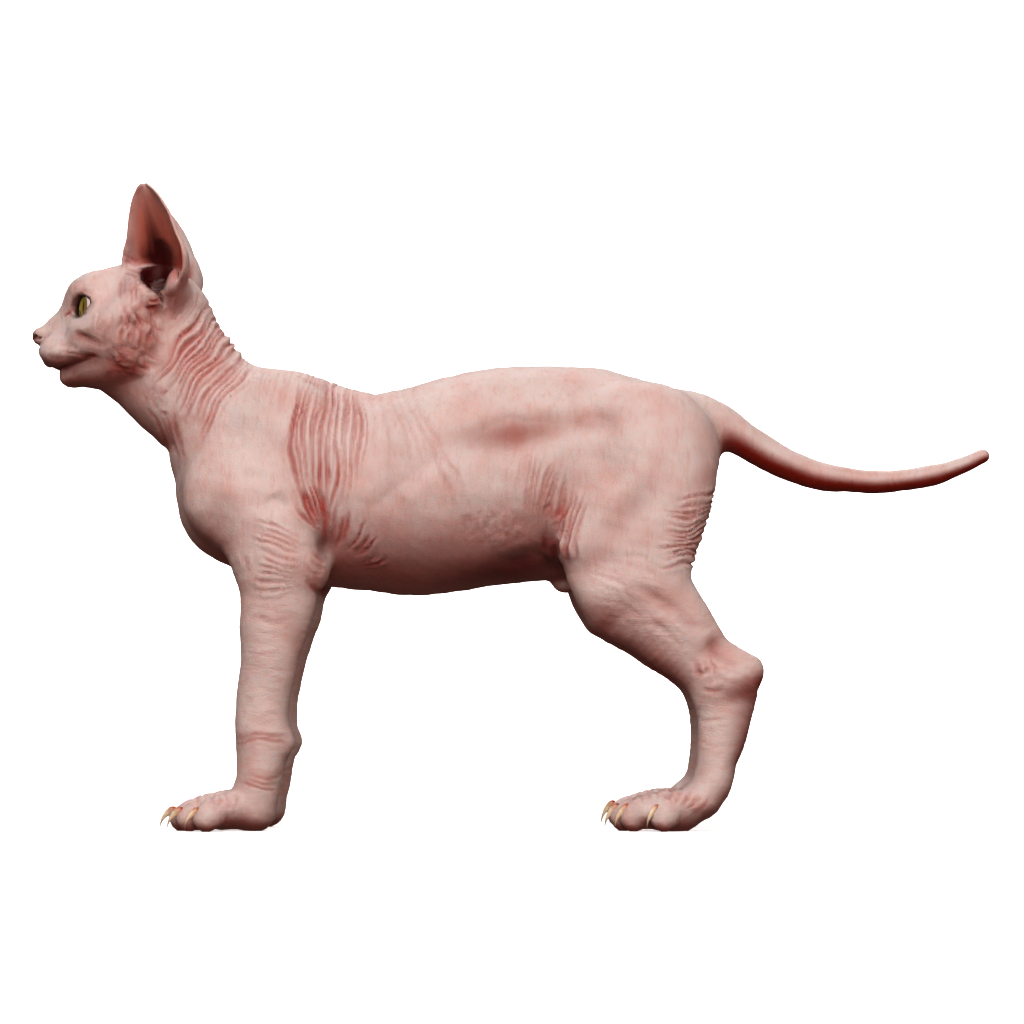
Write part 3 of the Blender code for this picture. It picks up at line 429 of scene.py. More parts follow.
# Creases in the skin, as x and z seen from the side: how many lie side by side from a first line
# to a last one, half width, depth, how far the skin swells beside them, and how red they are
# painted, for their own redness and for painted shade in them.
CREASES = {
    "neck": (13, 0.95, 1.5, 0.5, 0.75,
        [(-160, 305), (-170, 290), (-180, 275), (-190, 261), (-198.5, 249), (-203, 240)],
        [(-136, 268), (-144.5, 256), (-153, 245), (-161, 233), (-168.5, 219), (-174, 203)]),
    "neck_fine": (13, 0.7, 0.4, 0.1, 0.35,
        [(-162, 305), (-171, 289), (-181, 273), (-190, 259), (-198, 246)],
        [(-134, 266), (-143, 253.5), (-151, 241), (-159, 228), (-166, 214)]),
    "nape": (5, 0.7, 0.4, 0.15, 0.25,
        [(-186, 300), (-186.5, 290), (-190, 281), (-196, 272)],
        [(-172, 304), (-173, 293), (-178, 283), (-186, 272)]),
    "throat": (4, 1.3, 1.1, 0.4, 0.8,
        [(-201.5, 237.5), (-196.5, 224), (-190.5, 212.5), (-185, 196.5)],
        [(-185.5, 235.5), (-185.5, 223.5), (-184.5, 211.5), (-180, 191)]),
    "throat_cut": (2, 1, 1.6, 0.4, 1,
        [(-194, 240), (-192, 242), (-190, 242.5)],
        [(-194.5, 231), (-192.5, 229.5), (-190, 227.5)]),
    "withers": (10, 0.95, 1.9, 0.6, 0.85,
        [(-114, 268), (-115, 252), (-117, 234), (-121, 219.5), (-121, 206), (-117, 190), (-107, 166)],
        [(-82, 258), (-82.5, 243), (-82.5, 228.5), (-82.5, 213), (-83, 196), (-87, 178), (-98, 153)]),
    "withers_fine": (14, 0.6, 0.7, 0.2, 0.6,
        [(-116, 269), (-117, 253.5), (-118.5, 235.5), (-122, 218.5), (-123, 206), (-119.5, 191.5)],
        [(-78, 258), (-80.5, 242), (-80, 227), (-80, 213), (-81.5, 196), (-84, 179.5)]),
    "back_faint": (6, 1.3, 0.4, 0.15, 0.15,
        [(-77.5, 252), (-77.5, 240.5), (-76.5, 224.5), (-76.5, 207.5), (-79, 184)],
        [(-61, 253), (-55, 241.5), (-46, 222), (-35, 200), (-24, 180), (-12, 160)]),
    "nape_faint": (6, 0.8, 0.4, 0.15, 0.15,
        [(-139, 268), (-139, 255.5), (-138.5, 240), (-140, 228)],
        [(-120, 262), (-122, 249.5), (-125, 236.5), (-128, 216)]),
    "armpit_front": (5, 0.9, 1.8, 0.6, 0.8,
        [(-119, 182), (-114.5, 173), (-109, 165.5), (-104, 160)],
        [(-110, 196), (-106.5, 184), (-103, 172), (-101.5, 162)]),
    "armpit_deep": (1, 1.4, 3.2, 0.8, 1,
        [(-106, 186.5), (-102.5, 178), (-100.5, 169), (-101, 159.5), (-102, 152.5)], None),
    "armpit_rear": (4, 0.95, 1.7, 0.6, 0.8,
        [(-98, 186), (-98, 172), (-99.5, 160), (-101.5, 151)],
        [(-88, 182), (-89, 170), (-92, 159), (-97, 150)]),
    "armpit_fan": (5, 1.0, 1.1, 0.5, 0.5,
        [(-76.5, 169.5), (-82, 162.5), (-88.5, 155.5), (-93.5, 150)],
        [(-66, 150), (-73, 146.5), (-81, 144.5), (-89, 143.5)]),
    "arm_band": (10, 0.9, 0.8, 0.35, 0.35,
        [(-140, 172), (-130, 166.5), (-119, 161), (-108, 155)],
        [(-146, 134), (-135.5, 131), (-121.5, 131), (-109.5, 137)]),
    "forearm_band": (3, 1.6, 0.45, 0.2, 0.2,
        [(-147, 129.5), (-136.5, 126.5), (-123.5, 126.5), (-112, 130.5)],
        [(-148.5, 117), (-137.5, 115.5), (-125.5, 115.5), (-115, 119)]),
    "elbow": (5, 1.1, 1.1, 0.5, 0.6,
        [(-112, 154.5), (-106, 149.5), (-101.5, 144)],
        [(-112, 140), (-109, 134.5), (-106.5, 130)]),
    "arm_front": (1, 1.1, 0.5, 0.2, 0.2,
        [(-147, 153.5), (-146, 147), (-144.5, 139)], None),
    "shoulder_shade": (1, 5, 1.2, 0, 0,
        [(-150, 190), (-143.5, 190.5), (-134.5, 189)], None),
    "shoulder_line": (1, 3.5, 0.9, 0, 0,
        [(-161.5, 213.5), (-154.5, 216), (-144.5, 217.5)], None),
    "shoulder_edge": (1, 6, 1.5, 0.3, 0,
        [(-132.5, 184), (-128.5, 179), (-124, 173)], None),
    "rib_edge": (1, 5, 1.6, 0.3, 0.1,
        [(-32.5, 212.5), (-44.5, 202.5), (-60.5, 188.5), (-71.5, 179), (-79, 171.5)], None),
    "hollow": (1, 11, 3, 0, 0.35,
        [(-18.5, 214.5), (-4.5, 215), (11, 218)], None),
    "hip_hollow": (1, 9, 2, 0, 0.1,
        [(33, 224), (44, 225), (58, 220.5)], None),
    "thigh_edge": (1, 9, 1.2, 0, 0,
        [(55, 213), (47, 196.5), (43, 177), (40.5, 158)], None),
    "flank_fan": (13, 0.8, 1.3, 0.5, 0.6,
        [(12.5, 213), (10.5, 195), (7.5, 180), (3.5, 165)],
        [(44, 193), (39, 175.5), (34, 160), (31, 147)]),
    "flank_faint": (4, 1.5, 0.4, 0.2, 0.2,
        [(-6.5, 197), (-6.5, 183), (-7.5, 171)],
        [(9, 213), (8, 196), (4.5, 180)]),
    "flank_deep": (4, 1.1, 2.2, 0.7, 0.85,
        [(24, 183), (20, 174.5), (15, 167)],
        [(32, 180.5), (27, 171.5), (21, 163)]),
    "flank_skirt": (5, 1.3, 1.3, 0.8, 0.8,
        [(15.5, 161), (18, 155.5), (20.5, 149.5)],
        [(33.5, 160.5), (33.5, 151.5), (34, 140.5)]),
    "belly_hollow": (1, 4, 2.4, 0.5, 0,
        [(-19.5, 144.5), (-6.5, 147), (6, 149), (15.5, 150.5), (23.5, 142), (30.5, 138)], None),
    "thigh_back": (12, 0.75, 1.1, 0.45, 0.65,
        [(124, 194), (114, 187), (103, 182), (92, 179), (80, 178)],
        [(110, 152), (102, 148), (94, 145.5), (85, 144), (74, 144)]),
    "knee": (7, 1.1, 0.55, 0.3, 0.2,
        [(33, 146), (46, 143.5), (57.5, 138), (69.5, 131.5)],
        [(44, 116.5), (54.5, 116), (66.5, 111), (78.5, 103.5)]),
    "knee_cross": (5, 1.2, 0.4, 0.2, 0.1,
        [(46, 153.5), (60, 149), (74, 146.5), (89.5, 139.5)],
        [(69.5, 127), (78.5, 126), (89, 122), (99, 114.5)]),
    "calf": (1, 3.2, 2.2, 0.7, 0.4,
        [(64, 134), (75, 129), (87, 121), (98, 113), (107, 106)], None),
    "heel_hollow": (1, 4.6, 3, 0.6, 0.6,
        [(106, 104.5), (112, 99), (119, 94), (128, 90)], None),
    "shin": (4, 2.2, 0.7, 0.3, 0.1,
        [(60, 115.5), (72, 109), (82.5, 100.5), (93.5, 90.5)],
        [(76, 119.5), (86, 112), (93.5, 103.5), (101, 95)]),
    "ankle": (3, 1.2, 1.2, 0.6, 0.5,
        [(98, 96), (101, 89.5), (101.5, 82)],
        [(106.5, 95), (109.5, 88.5), (111, 81)]),
    "ankle_cross": (2, 1.2, 1, 0.4, 0.5,
        [(99, 88.5), (103.5, 86), (108.5, 87.5)],
        [(102.5, 76.5), (108.5, 75.5), (116, 77.5)]),
    "hock": (3, 1.2, 0.6, 0.3, 0.3,
        [(123, 88.5), (128.5, 89.5), (136.5, 88.5)],
        [(125, 76.5), (129.5, 75.5), (136, 75.5)]),
    "shank_fine": (6, 1.2, 0.35, 0.15, 0.1,
        [(99.5, 71), (109, 69), (124, 71)],
        [(98.5, 33), (107.5, 30.5), (121, 34)]),
    "hind_paw": (5, 1.2, 0.9, 0.5, 0.5,
        [(87.5, 25.5), (84.5, 19), (80, 15)],
        [(108.5, 22.5), (104, 14), (96.5, 8.5)]),
    "wrist_high": (2, 1.1, 0.8, 0.4, 0.7,
        [(-152, 51.5), (-140.5, 53), (-131, 52.5), (-119.5, 49.5)],
        [(-151.5, 47.5), (-140.5, 49.5), (-131, 48.5), (-118, 45)]),
    "wrist_low": (3, 1.1, 0.7, 0.3, 0.6,
        [(-150, 34), (-141.5, 32), (-132, 31), (-122, 34.5)],
        [(-149.5, 26), (-140.5, 23.5), (-131, 23.5), (-123, 26.5)]),
    "fore_paw": (4, 1.2, 0.8, 0.4, 0.5,
        [(-163.5, 21), (-164, 16), (-165.5, 12)],
        [(-147, 22.5), (-149.5, 15), (-153, 8.5)]),
    "forearm_fine": (5, 1.4, 0.3, 0.1, 0.1,
        [(-148.5, 109.5), (-135.5, 108), (-120.5, 110)],
        [(-150, 63), (-135, 62), (-119, 64.5)]),
    "pocket": (1, 2, 0.7, 0.3, 1,
        [(-181.5, 323), (-183.5, 313.5), (-186, 304), (-189, 298)], None),
    "under_eye": (2, 1, 2.2, 1.0, 0.5,
        [(-226, 286.5), (-226.5, 282), (-230, 277.5), (-237, 275.5)],
        [(-224, 283), (-224.5, 279), (-228, 274.5), (-234, 272.5)]),
    "under_eye_low": (1, 1.4, 3, 1.1, 0.8,
        [(-243, 275), (-239.5, 272), (-233, 269.5), (-226, 268), (-219, 269)], None),
    "cheek_fold": (4, 1, 1.8, 0.8, 0.5,
        [(-222.5, 285.5), (-222.5, 279.5), (-227, 274), (-231, 271)],
        [(-212.5, 288), (-211.5, 281), (-212.5, 274.5), (-216.5, 269)]),
    "temple": (5, 0.9, 0.7, 0.4, 0.5,
        [(-219.5, 309.5), (-217, 299), (-216.5, 290)],
        [(-203.5, 300), (-205, 293.5), (-204, 288)]),
    "temple_deep": (2, 1.1, 1.3, 0.6, 0.7,
        [(-215, 291.5), (-213, 285), (-210, 278.5)],
        [(-208.5, 286.5), (-205, 281.5), (-199.5, 274.5)]),
    "ear_root": (4, 0.9, 0.7, 0.3, 0.5,
        [(-218.5, 319), (-213.5, 317.5), (-205, 315)],
        [(-219, 310.5), (-212, 307), (-202, 304)]),
    "ear_notch": (2, 1.1, 1.5, 0.6, 0.9,
        [(-202, 288.5), (-199.5, 286), (-195, 289.5)],
        [(-201, 293.5), (-197.5, 291.5), (-194, 293.5)]),
    "jaw": (5, 1.1, 1.2, 0.6, 0.6,
        [(-220, 267.5), (-214.5, 264.5), (-208, 264)],
        [(-226, 250.5), (-219, 252.5), (-211.5, 250.5)]),
    "jaw_cross": (5, 1.1, 1.1, 0.6, 0.6,
        [(-213.5, 279), (-215, 270), (-216.5, 262.5)],
        [(-195.5, 280), (-199.5, 271), (-204, 261)]),
    "brow": (1, 0.8, 0.35, 0.2, 0.2,
        [(-242.5, 299), (-243, 301.5), (-243.5, 306)], None),
    "lid_fold": (1, 0.9, 0.7, 0.3, 0.3,
        [(-242.5, 298), (-238, 299), (-232.5, 296.5), (-228.5, 292)], None),
    "tear": (1, 0.8, 1.3, 0.3, 1,
        [(-242.5, 288), (-245, 286.5), (-248.5, 285.5)], None),
    "nose_side": (1, 0.8, 0.8, 0.3, 0.6,
        [(-260, 276.5), (-262.5, 273.5), (-263.5, 270)], None),
    "bridge": (3, 0.7, 0.25, 0.1, 0.2,
        [(-253, 291), (-250, 286), (-248.5, 282)],
        [(-260, 283), (-257, 279), (-255.5, 275.5)]),
    "lip_fold": (2, 0.8, 0.7, 0.3, 0.3,
        [(-251, 264), (-243, 263.5), (-233.5, 262), (-225, 258.5)],
        [(-260.5, 264.5), (-255.5, 261.5), (-250, 260)]),
}


def from_0_to_1(value):
    return min(max(value, 0), 1)


def ear_outline(height):
    """Half the ear's width, from 1 near its foot to a round tip."""
    foot, more, top = EAR_SWELL
    steep, blunt = EAR_ROUND
    swell = foot + more * math.sin(math.pi * min(height / top, 1))
    return swell * (1 - max(height, 0) ** steep) ** blunt


def ear_point(across, height):
    """A point of the cup: across runs from the front rim to the rear one, height from foot to tip."""
    turn = math.radians(EAR_TURN)
    wide = Vector((math.cos(turn), math.sin(turn), 0))
    deep = Vector((math.sin(turn), -math.cos(turn), 0))
    axis = EAR_FOOT.lerp(EAR_TIP, height)
    arc = math.radians(EAR_ARC)
    half = EAR_HALF_WIDTH * max(ear_outline(height), EAR_LEAST_WIDTH)
    share, below, length, power = EAR_GATHER
    gather = 1 - share * from_0_to_1((below - height) / length) ** power
    narrow = EAR_NARROW_DEPTH + (1 - EAR_NARROW_DEPTH) * half / EAR_HALF_WIDTH
    cup = EAR_CUP_DEPTH * (1 - EAR_FLATTENS * max(height, 0)) * narrow
    sideways = half * gather * math.sin(across * arc) / math.sin(arc)
    inwards = cup * (math.cos(across * arc) - math.cos(arc)) / (1 - math.cos(arc))
    back = EAR_LEANS_BACK * math.sin(math.pi * from_0_to_1(height))
    return axis + wide * (sideways + back) + deep * (inwards + EAR_FOOT_BACK * (1 - gather))


def ear_sheet(faces):
    """The middle of the ear's wall as an open sheet."""
    mesh = bmesh.new()
    bmesh.ops.create_grid(mesh, x_segments=faces, y_segments=faces, size=1)
    for vert in mesh.verts:
        rise = 1 - (1 - (vert.co.y + 1) / 2) ** EAR_CROWDING
        vert.co = ear_point(vert.co.x, -EAR_SUNK + (1 + EAR_SUNK) * rise * EAR_TOP)
    mesh.normal_update()
    return mesh


def ear_rim(across):
    return np.array([ear_point(across, step / EAR_RIM_STEPS)[:] for step in range(EAR_RIM_STEPS + 1)])


EAR_TREE = BVHTree.FromBMesh(ear_sheet(EAR_SHEET_FACES))
EAR_RIMS = [ear_rim(-1), ear_rim(1)]
# The sections of a tube between two given ones.
TUBE_STEPS = 3


def all_masses():
    """Every mass as a blend radius, a distance function and the box it can reach."""
    masses = []
    tubes = list(TUBES.values())
    for foot, toes in (("fore", FORE_TOES), ("hind", HIND_TOES)):
        tubes += [(TOE_BLEND, toe_stations(foot, root, tip)) for root, tip in toes.values()]
    for radius, stations in tubes:
        rows = resample(stations, TUBE_STEPS)
        reach = rows[:, 3:].max(axis=1)[:, None]
        low = (rows[:, :3] - reach).min(axis=0)
        high = (rows[:, :3] + reach).max(axis=0)
        masses.append((radius, tube_distance, (rows,), low, high))
    lid = (LID_BLEND, EYE_CENTRE, [EYE_RADIUS + LID_THICKNESS] * 3, 0)
    for radius, centre, radii, pitch in list(BALLS.values()) + [DEWCLAW_KNOB, lid]:
        reach = max(radii)
        low, high = np.array(centre) - reach, np.array(centre) + reach
        masses.append((radius, ball_distance, (centre, radii, pitch), low, high))
    return masses


MASSES = all_masses()
# A point far from every mass is given this distance, and a mass counts only this near its box.
FAR_AWAY = 60
NEAR_BOX = 8
# A form's slope is felt over a step. A point is moved until it is close enough, by at most so much
# at once and as if the slope were never gentler.
STEP = 0.05
CLOSE_ENOUGH = 0.01
LONGEST_MOVE = 3
GENTLEST_SLOPE = 0.25


def body_form(points):
    """Signed distance to the body without its hollows, in millimetres, for points at +Y."""
    value = np.full(len(points), float(FAR_AWAY))
    for radius, distance, arguments, low, high in MASSES:
        margin = radius + NEAR_BOX
        close = ((points > low - margin) & (points < high + margin)).all(axis=1)
        if close.any():
            value[close] = blend(value[close], distance(points[close], *arguments), radius)
    return value


def in_ear_box(folded):
    return ((folded > EAR_LOW) & (folded < EAR_HIGH)).all(axis=1)


def ear_distance(points, spare):
    """Distance to the wall of the right ear, which may be made thicker by a spare layer."""
    value = np.empty(len(points))
    for i, point in enumerate(points):
        place, _, _, gap = EAR_TREE.find_nearest(Vector(point))
        height = from_0_to_1((place.z - EAR_FOOT.z) / (EAR_TIP.z - EAR_FOOT.z))
        value[i] = gap - (EAR_WALL[0] + height * (EAR_WALL[1] - EAR_WALL[0]) + spare) / 2
    return value


def eye_axes():
    """The right eye's own axes: outwards along the lids, up, and along the gaze."""
    across = EYE_LOOKS.cross(Vector((0, 0, 1))).normalized()
    if across.y < 0:
        across.negate()
    up = EYE_LOOKS.cross(across).normalized()
    if up.z < 0:
        up.negate()
    tilt = math.radians(EYE_SLIT_TILT)
    along = across * math.cos(tilt) + up * math.sin(tilt)
    over = up * math.cos(tilt) - across * math.sin(tilt)
    return along, over, EYE_LOOKS


EYE_AXES = np.array([axis[:] for axis in eye_axes()])


def opening_distance(points):
    """Distance to the almond between the lids, and the points along the right eye's own axes."""
    half_length, rise, drop = EYE_SLIT
    local = (points - np.array(EYE_CENTRE)) @ EYE_AXES.T
    length = np.where(local[:, 0] < 0, half_length + TEAR_DUCT, half_length)
    reach = np.where(local[:, 1] > 0, rise, drop)
    inner, outer = ALMOND_POWERS
    near = ((local[:, 0] / length) ** 2 + (np.abs(local[:, 1]) / reach) ** inner) ** outer
    return (near - 1) * drop, local


def eye_hollow(points):
    """Distance to the space that the eyeball and the slit between the lids take."""
    almond, local = opening_distance(points)
    ball = EYE_BED - np.linalg.norm(local, axis=1)
    return np.maximum(np.maximum(almond, ball), EYE_HOLLOW_START - local[:, 2])


def skin_form(points, spare=0):
    """Signed distance to the skin: the body, the ears' walls, and the hollows of the head."""
    folded = folded_over(points)
    value = body_form(folded)
    near = in_ear_box(folded)
    if near.any():
        value[near] = blend(value[near], ear_distance(folded[near], spare), EAR_BLEND)
    for radius, centre, radii, pitch in HOLLOWS.values():
        near = far_from(folded, centre) < max(radii) + HOLLOW_REACH
        if near.any():
            value[near] = cut(value[near], ball_distance(folded[near], centre, radii, pitch), radius)
    near = far_from(folded, EYE_CENTRE) < EYE_RADIUS + HOLLOW_REACH
    if near.any():
        value[near] = cut(value[near], eye_hollow(folded[near]), EYE_HOLLOW_ROUND)
    back, height, half = MOUTH_ZONE
    near = (folded[:, 0] < back) & (np.abs(folded[:, 2] - height) < half)
    if near.any():
        gap = line_distance(folded[near], MOUTH)[0] - MOUTH_GROOVE
        value[near] = cut(value[near], gap, MOUTH_ROUND)
    return np.maximum(value, -points[:, 2])


def draw_onto(points, form, rounds):
    """Move points along the form's slope until they lie on it."""
    points = points.copy()
    active = np.arange(len(points))
    for _ in range(rounds):
        moving = points[active]
        value = form(moving)
        far = np.abs(value) > CLOSE_ENOUGH
        active, moving, value = active[far], moving[far], value[far]
        if not len(active):
            break
        slope = np.column_stack([form(moving + STEP * axis) - value for axis in np.eye(3)]) / STEP
        steep = np.maximum((slope ** 2).sum(axis=1), GENTLEST_SLOPE)
        move = np.clip(value / steep, -LONGEST_MOVE, LONGEST_MOVE)
        points[active] = moving - move[:, None] * slope
    return points


# The rounds of moves that bring the mouth, the first skin and the ears onto the form.
ROUNDS = {"mouth": 6, "skin": 6, "ears": 4}
MOUTH = draw_onto(np.array(MOUTH_LINE, float), body_form, ROUNDS["mouth"])
MOUTH[0, 1] = 0


def add_ball(mesh, centre, axes, radii):
    """A round ball stretched to its radii along three axes."""
    made = bmesh.ops.create_icosphere(mesh, subdivisions=2, radius=1)
    turn = Matrix([Vector(axis) for axis in axes]).transposed().to_4x4()
    place = Matrix.Translation(Vector(centre)) @ turn @ Matrix.Diagonal((*radii, 1))
    bmesh.ops.transform(mesh, matrix=place, verts=made["verts"])


def add_pitched_ball(mesh, centre, radii, pitch):
    add_ball(mesh, centre, Matrix.Rotation(-math.radians(pitch), 3, "Y").transposed(), radii)


def pour(mesh, whole):
    """Move everything in one mesh into another."""
    data = bpy.data.meshes.new("poured")
    mesh.to_mesh(data)
    mesh.free()
    whole.from_mesh(data)
    bpy.data.meshes.remove(data)


def add_other_side(mesh):
    """Add the mirror image of everything in a mesh."""
    copy = mesh.copy()
    bmesh.ops.scale(copy, vec=(1, -1, 1), verts=copy.verts)
    bmesh.ops.reverse_faces(copy, faces=copy.faces)
    pour(copy, mesh)


def new_piece(name, mesh):
    """An object from a bmesh, in the mesh's own units."""
    data = bpy.data.meshes.new(name)
    mesh.to_mesh(data)
    mesh.free()
    piece = bpy.data.objects.new(name, data)
    scene.collection.objects.link(piece)
    return piece


def modify(piece, kind, **settings):
    modifier = piece.modifiers.new(kind.title(), kind)
    for name, value in settings.items():
        setattr(modifier, name, value)


def apply_modifiers(piece):
    graph = bpy.context.evaluated_depsgraph_get()
    data = bpy.data.meshes.new_from_object(piece.evaluated_get(graph))
    piece.modifiers.clear()
    piece.data = data


def rows_of(piece, what):
    """What every vertex has, its place ("co") or its normal ("normal"), a row each."""
    flat = np.empty(len(piece.data.vertices) * 3, np.float32)
    piece.data.vertices.foreach_get(what, flat)
    return flat.reshape(-1, 3).astype(float)


def place_points(piece, points):
    piece.data.vertices.foreach_set("co", points.astype(np.float32).ravel())
    piece.data.update()


def store(piece, name, values):
    """Keep a value at every vertex, for the materials to read."""
    kept = piece.data.attributes.new(name, "FLOAT", "POINT")
    kept.data.foreach_set("value", np.asarray(values, np.float32))


# The skin is wrapped round the masses twice: first with coarse voxels and with ears that are thick
# enough for them, as a sheet of so many faces along each side, and then with fine voxels and a
# spare layer on the ears, which comes off again.
FIRST_VOXEL = 1.6
FIRST_WALL = 3.2
FIRST_EAR_FACES = 24
VOXEL = 1.0
SPARE_WALL = 0.9
# What is divided once more: the head and the ears, each ahead of x and above a height, and the
# paws, below a height.
REFINED_HEAD = (-190, 235)
REFINED_EARS = (-165, 290)
REFINED_PAWS = 30
# How far a vertex settles along its normal at most, and between which slopes.
SETTLE_MOVE = 1.5
SETTLE_SLOPES = (0.4, 1.5)


def wrapped_masses():
    """Overlapping balls that fill every mass, with the ears' walls, ready to be wrapped."""
    mesh = bmesh.new()
    for _, distance, arguments, _, _ in MASSES:
        if distance is ball_distance:
            add_pitched_ball(mesh, *arguments)
        else:
            rows = arguments[0]
            for row, following in zip(rows, np.vstack([rows[1:], 2 * rows[-1:] - rows[-2:-1]])):
                axes = tube_frame(row[:3], following[:3])
                add_ball(mesh, row[:3], axes, (min(row[3:]), row[3], row[4]))
    sheet = new_piece("ear", ear_sheet(FIRST_EAR_FACES))
    modify(sheet, "SOLIDIFY", thickness=FIRST_WALL, offset=0)
    apply_modifiers(sheet)
    mesh.from_mesh(sheet.data)
    bpy.data.objects.remove(sheet)
    add_other_side(mesh)
    return mesh


def hollow_balls():
    """The hollows of the head as balls, and one in front of each eye's bed."""
    mesh = bmesh.new()
    for _, centre, radii, pitch in HOLLOWS.values():
        add_pitched_ball(mesh, centre, radii, pitch)
    half_length, rise, drop = EYE_SLIT
    ahead = EYE_CENTRE + EYE_LOOKS * EYE_RADIUS
    add_ball(mesh, ahead, eye_axes(), (half_length, drop, EYE_RADIUS - EYE_BED))
    add_other_side(mesh)
    return mesh


def needs_detail(place):
    ahead_above = [place.x < x and place.z > z for x, z in (REFINED_HEAD, REFINED_EARS)]
    return any(ahead_above) or place.z < REFINED_PAWS


def refine(piece):
    """Divide the faces of the head, the ears and the paws once more."""
    mesh = bmesh.new()
    mesh.from_mesh(piece.data)
    fine = [edge for edge in mesh.edges if all(needs_detail(vert.co) for vert in edge.verts)]
    bmesh.ops.subdivide_edges(mesh, edges=fine, cuts=1, use_grid_fill=True)
    mesh.to_mesh(piece.data)
    mesh.free()


def settle(piece):
    """Move the vertices along their normals onto the skin's form."""
    points, normals = rows_of(piece, "co"), rows_of(piece, "normal")
    value = skin_form(points)
    ahead = skin_form(points + STEP * normals)
    steep = np.clip((ahead - value) / STEP, *SETTLE_SLOPES)
    move = np.clip(value / steep, -SETTLE_MOVE, SETTLE_MOVE)
    place_points(piece, points - move[:, None] * normals)


def bare_skin():
    """The whole body as one fine smooth mesh."""
    skin = new_piece("skin", wrapped_masses())
    hollows = new_piece("hollows", hollow_balls())
    modify(skin, "REMESH", mode="VOXEL", voxel_size=FIRST_VOXEL)
    modify(skin, "BOOLEAN", operation="DIFFERENCE", object=hollows)
    modify(skin, "REMESH", mode="VOXEL", voxel_size=FIRST_VOXEL)
    apply_modifiers(skin)
    bpy.data.objects.remove(hollows)
    thick = draw_onto(rows_of(skin, "co"), lambda points: skin_form(points, SPARE_WALL), ROUNDS["skin"])
    place_points(skin, thick)
    modify(skin, "REMESH", mode="VOXEL", voxel_size=VOXEL)
    apply_modifiers(skin)
    refine(skin)
    settle(skin)
    points = rows_of(skin, "co")
    ears = in_ear_box(folded_over(points))
    points[ears] = draw_onto(points[ears], skin_form, ROUNDS["ears"])
    place_points(skin, points)
    return skin


# A ripple is a sum of waves, whose lengths lie between these shares of its size, over its peak.
RIPPLE_WAVES = 6
RIPPLE_LENGTHS = (0.6, 1.5)
RIPPLE_PEAK = 2.6


def ripple(points, size, seed):
    """A smooth value from about -1 to 1 that wanders over a given size."""
    draw = np.random.default_rng(seed)
    value = np.zeros(len(points))
    for _ in range(RIPPLE_WAVES):
        direction = draw.normal(size=3)
        direction /= np.linalg.norm(direction)
        pitch = 2 * math.pi / (size * draw.uniform(*RIPPLE_LENGTHS))
        value += np.sin(points @ direction * pitch + draw.uniform(0, 2 * math.pi))
    return value / RIPPLE_PEAK


def fade(values, start, end):
    """0 up to a start and 1 from an end on, which may lie either way, and smooth between."""
    held = np.clip((values - start) / (end - start), 0, 1)
    return held * held * (3 - 2 * held)


def bell(gap, wide):
    return np.exp(-(gap / wide) ** 2)


def groove(gap, wide):
    """The section of a crease: 1 at its bottom, with steeper sides than a bell."""
    return np.exp(-(gap / wide) ** 1.5)


# All creases bend by so many millimetres over these lengths, each with a seed, and their strength
# varies round a middle by so much over a length, with a seed.
CREASE_BEND = 1.3
CREASE_BENDS = ((26, 1), (22, 2))
CREASE_STRENGTH = (0.8, 0.35, 30, 3)
# A crease in a row: how far it is shifted at most, as a share of the way to the next, how far it
# wanders at each step, in millimetres, how much of each end is left out at most, and how its depth
# and its width are spread.
CREASE_STEPS = 5
CREASE_SHIFT = 0.28
CREASE_WANDER = 0.22
CREASE_TRIM = 0.2
CREASE_DEPTHS = (0.7, 1.2)
CREASE_WIDTHS = (0.85, 1.15)
# Its section, in half widths: how far it counts, where the banks are highest and how wide they
# are, and how wide its painted redness and shade and the folded skin round it are. Its ends taper
# over a share.
CREASE_REACH = 4.5
BANK_PLACE = 2
BANK_WIDTH = 1.2
RED_AND_SHADE_WIDTH = 1.15
FOLD_WIDTH = 2
CREASE_TAPER = 0.33
# Its heights and depths are drawn so many times as strong as given. One with a greater half width
# than a wrinkle is a hollow of the body, round which the skin isn't folded.
CREASE_RAISE = 1.25
WIDEST_WRINKLE = 3
# How closely a last line is resampled to give it as many points as the first one.
MATCH_STEPS = 8


def crease_lines(seed, count, width, first, last):
    """Each line of a row of creases, with its size and its half width."""
    draw = np.random.default_rng(seed)
    first = np.array(first, float)
    last = first if last is None else np.array(last, float)
    if len(first) != len(last):
        steps = np.linspace(0, (len(last) - 1) * MATCH_STEPS, len(first)).astype(int)
        last = resample(last, MATCH_STEPS)[steps]
    for i in range(count):
        share = i / max(count - 1, 1)
        if count > 1:
            share += draw.uniform(-CREASE_SHIFT, CREASE_SHIFT) / count
        line = resample(first + share * (last - first), CREASE_STEPS)
        if count > 2:
            steps = len(line)
            wander = draw.normal(0, CREASE_WANDER, (steps, 2)).cumsum(axis=0)
            line = line + wander - wander.mean(axis=0)
            start = int(steps * draw.uniform(0, CREASE_TRIM))
            line = line[start:steps - int(steps * draw.uniform(0, CREASE_TRIM))]
        size = draw.uniform(*CREASE_DEPTHS) if count > 1 else 1
        yield line, size, width * draw.uniform(*CREASE_WIDTHS)


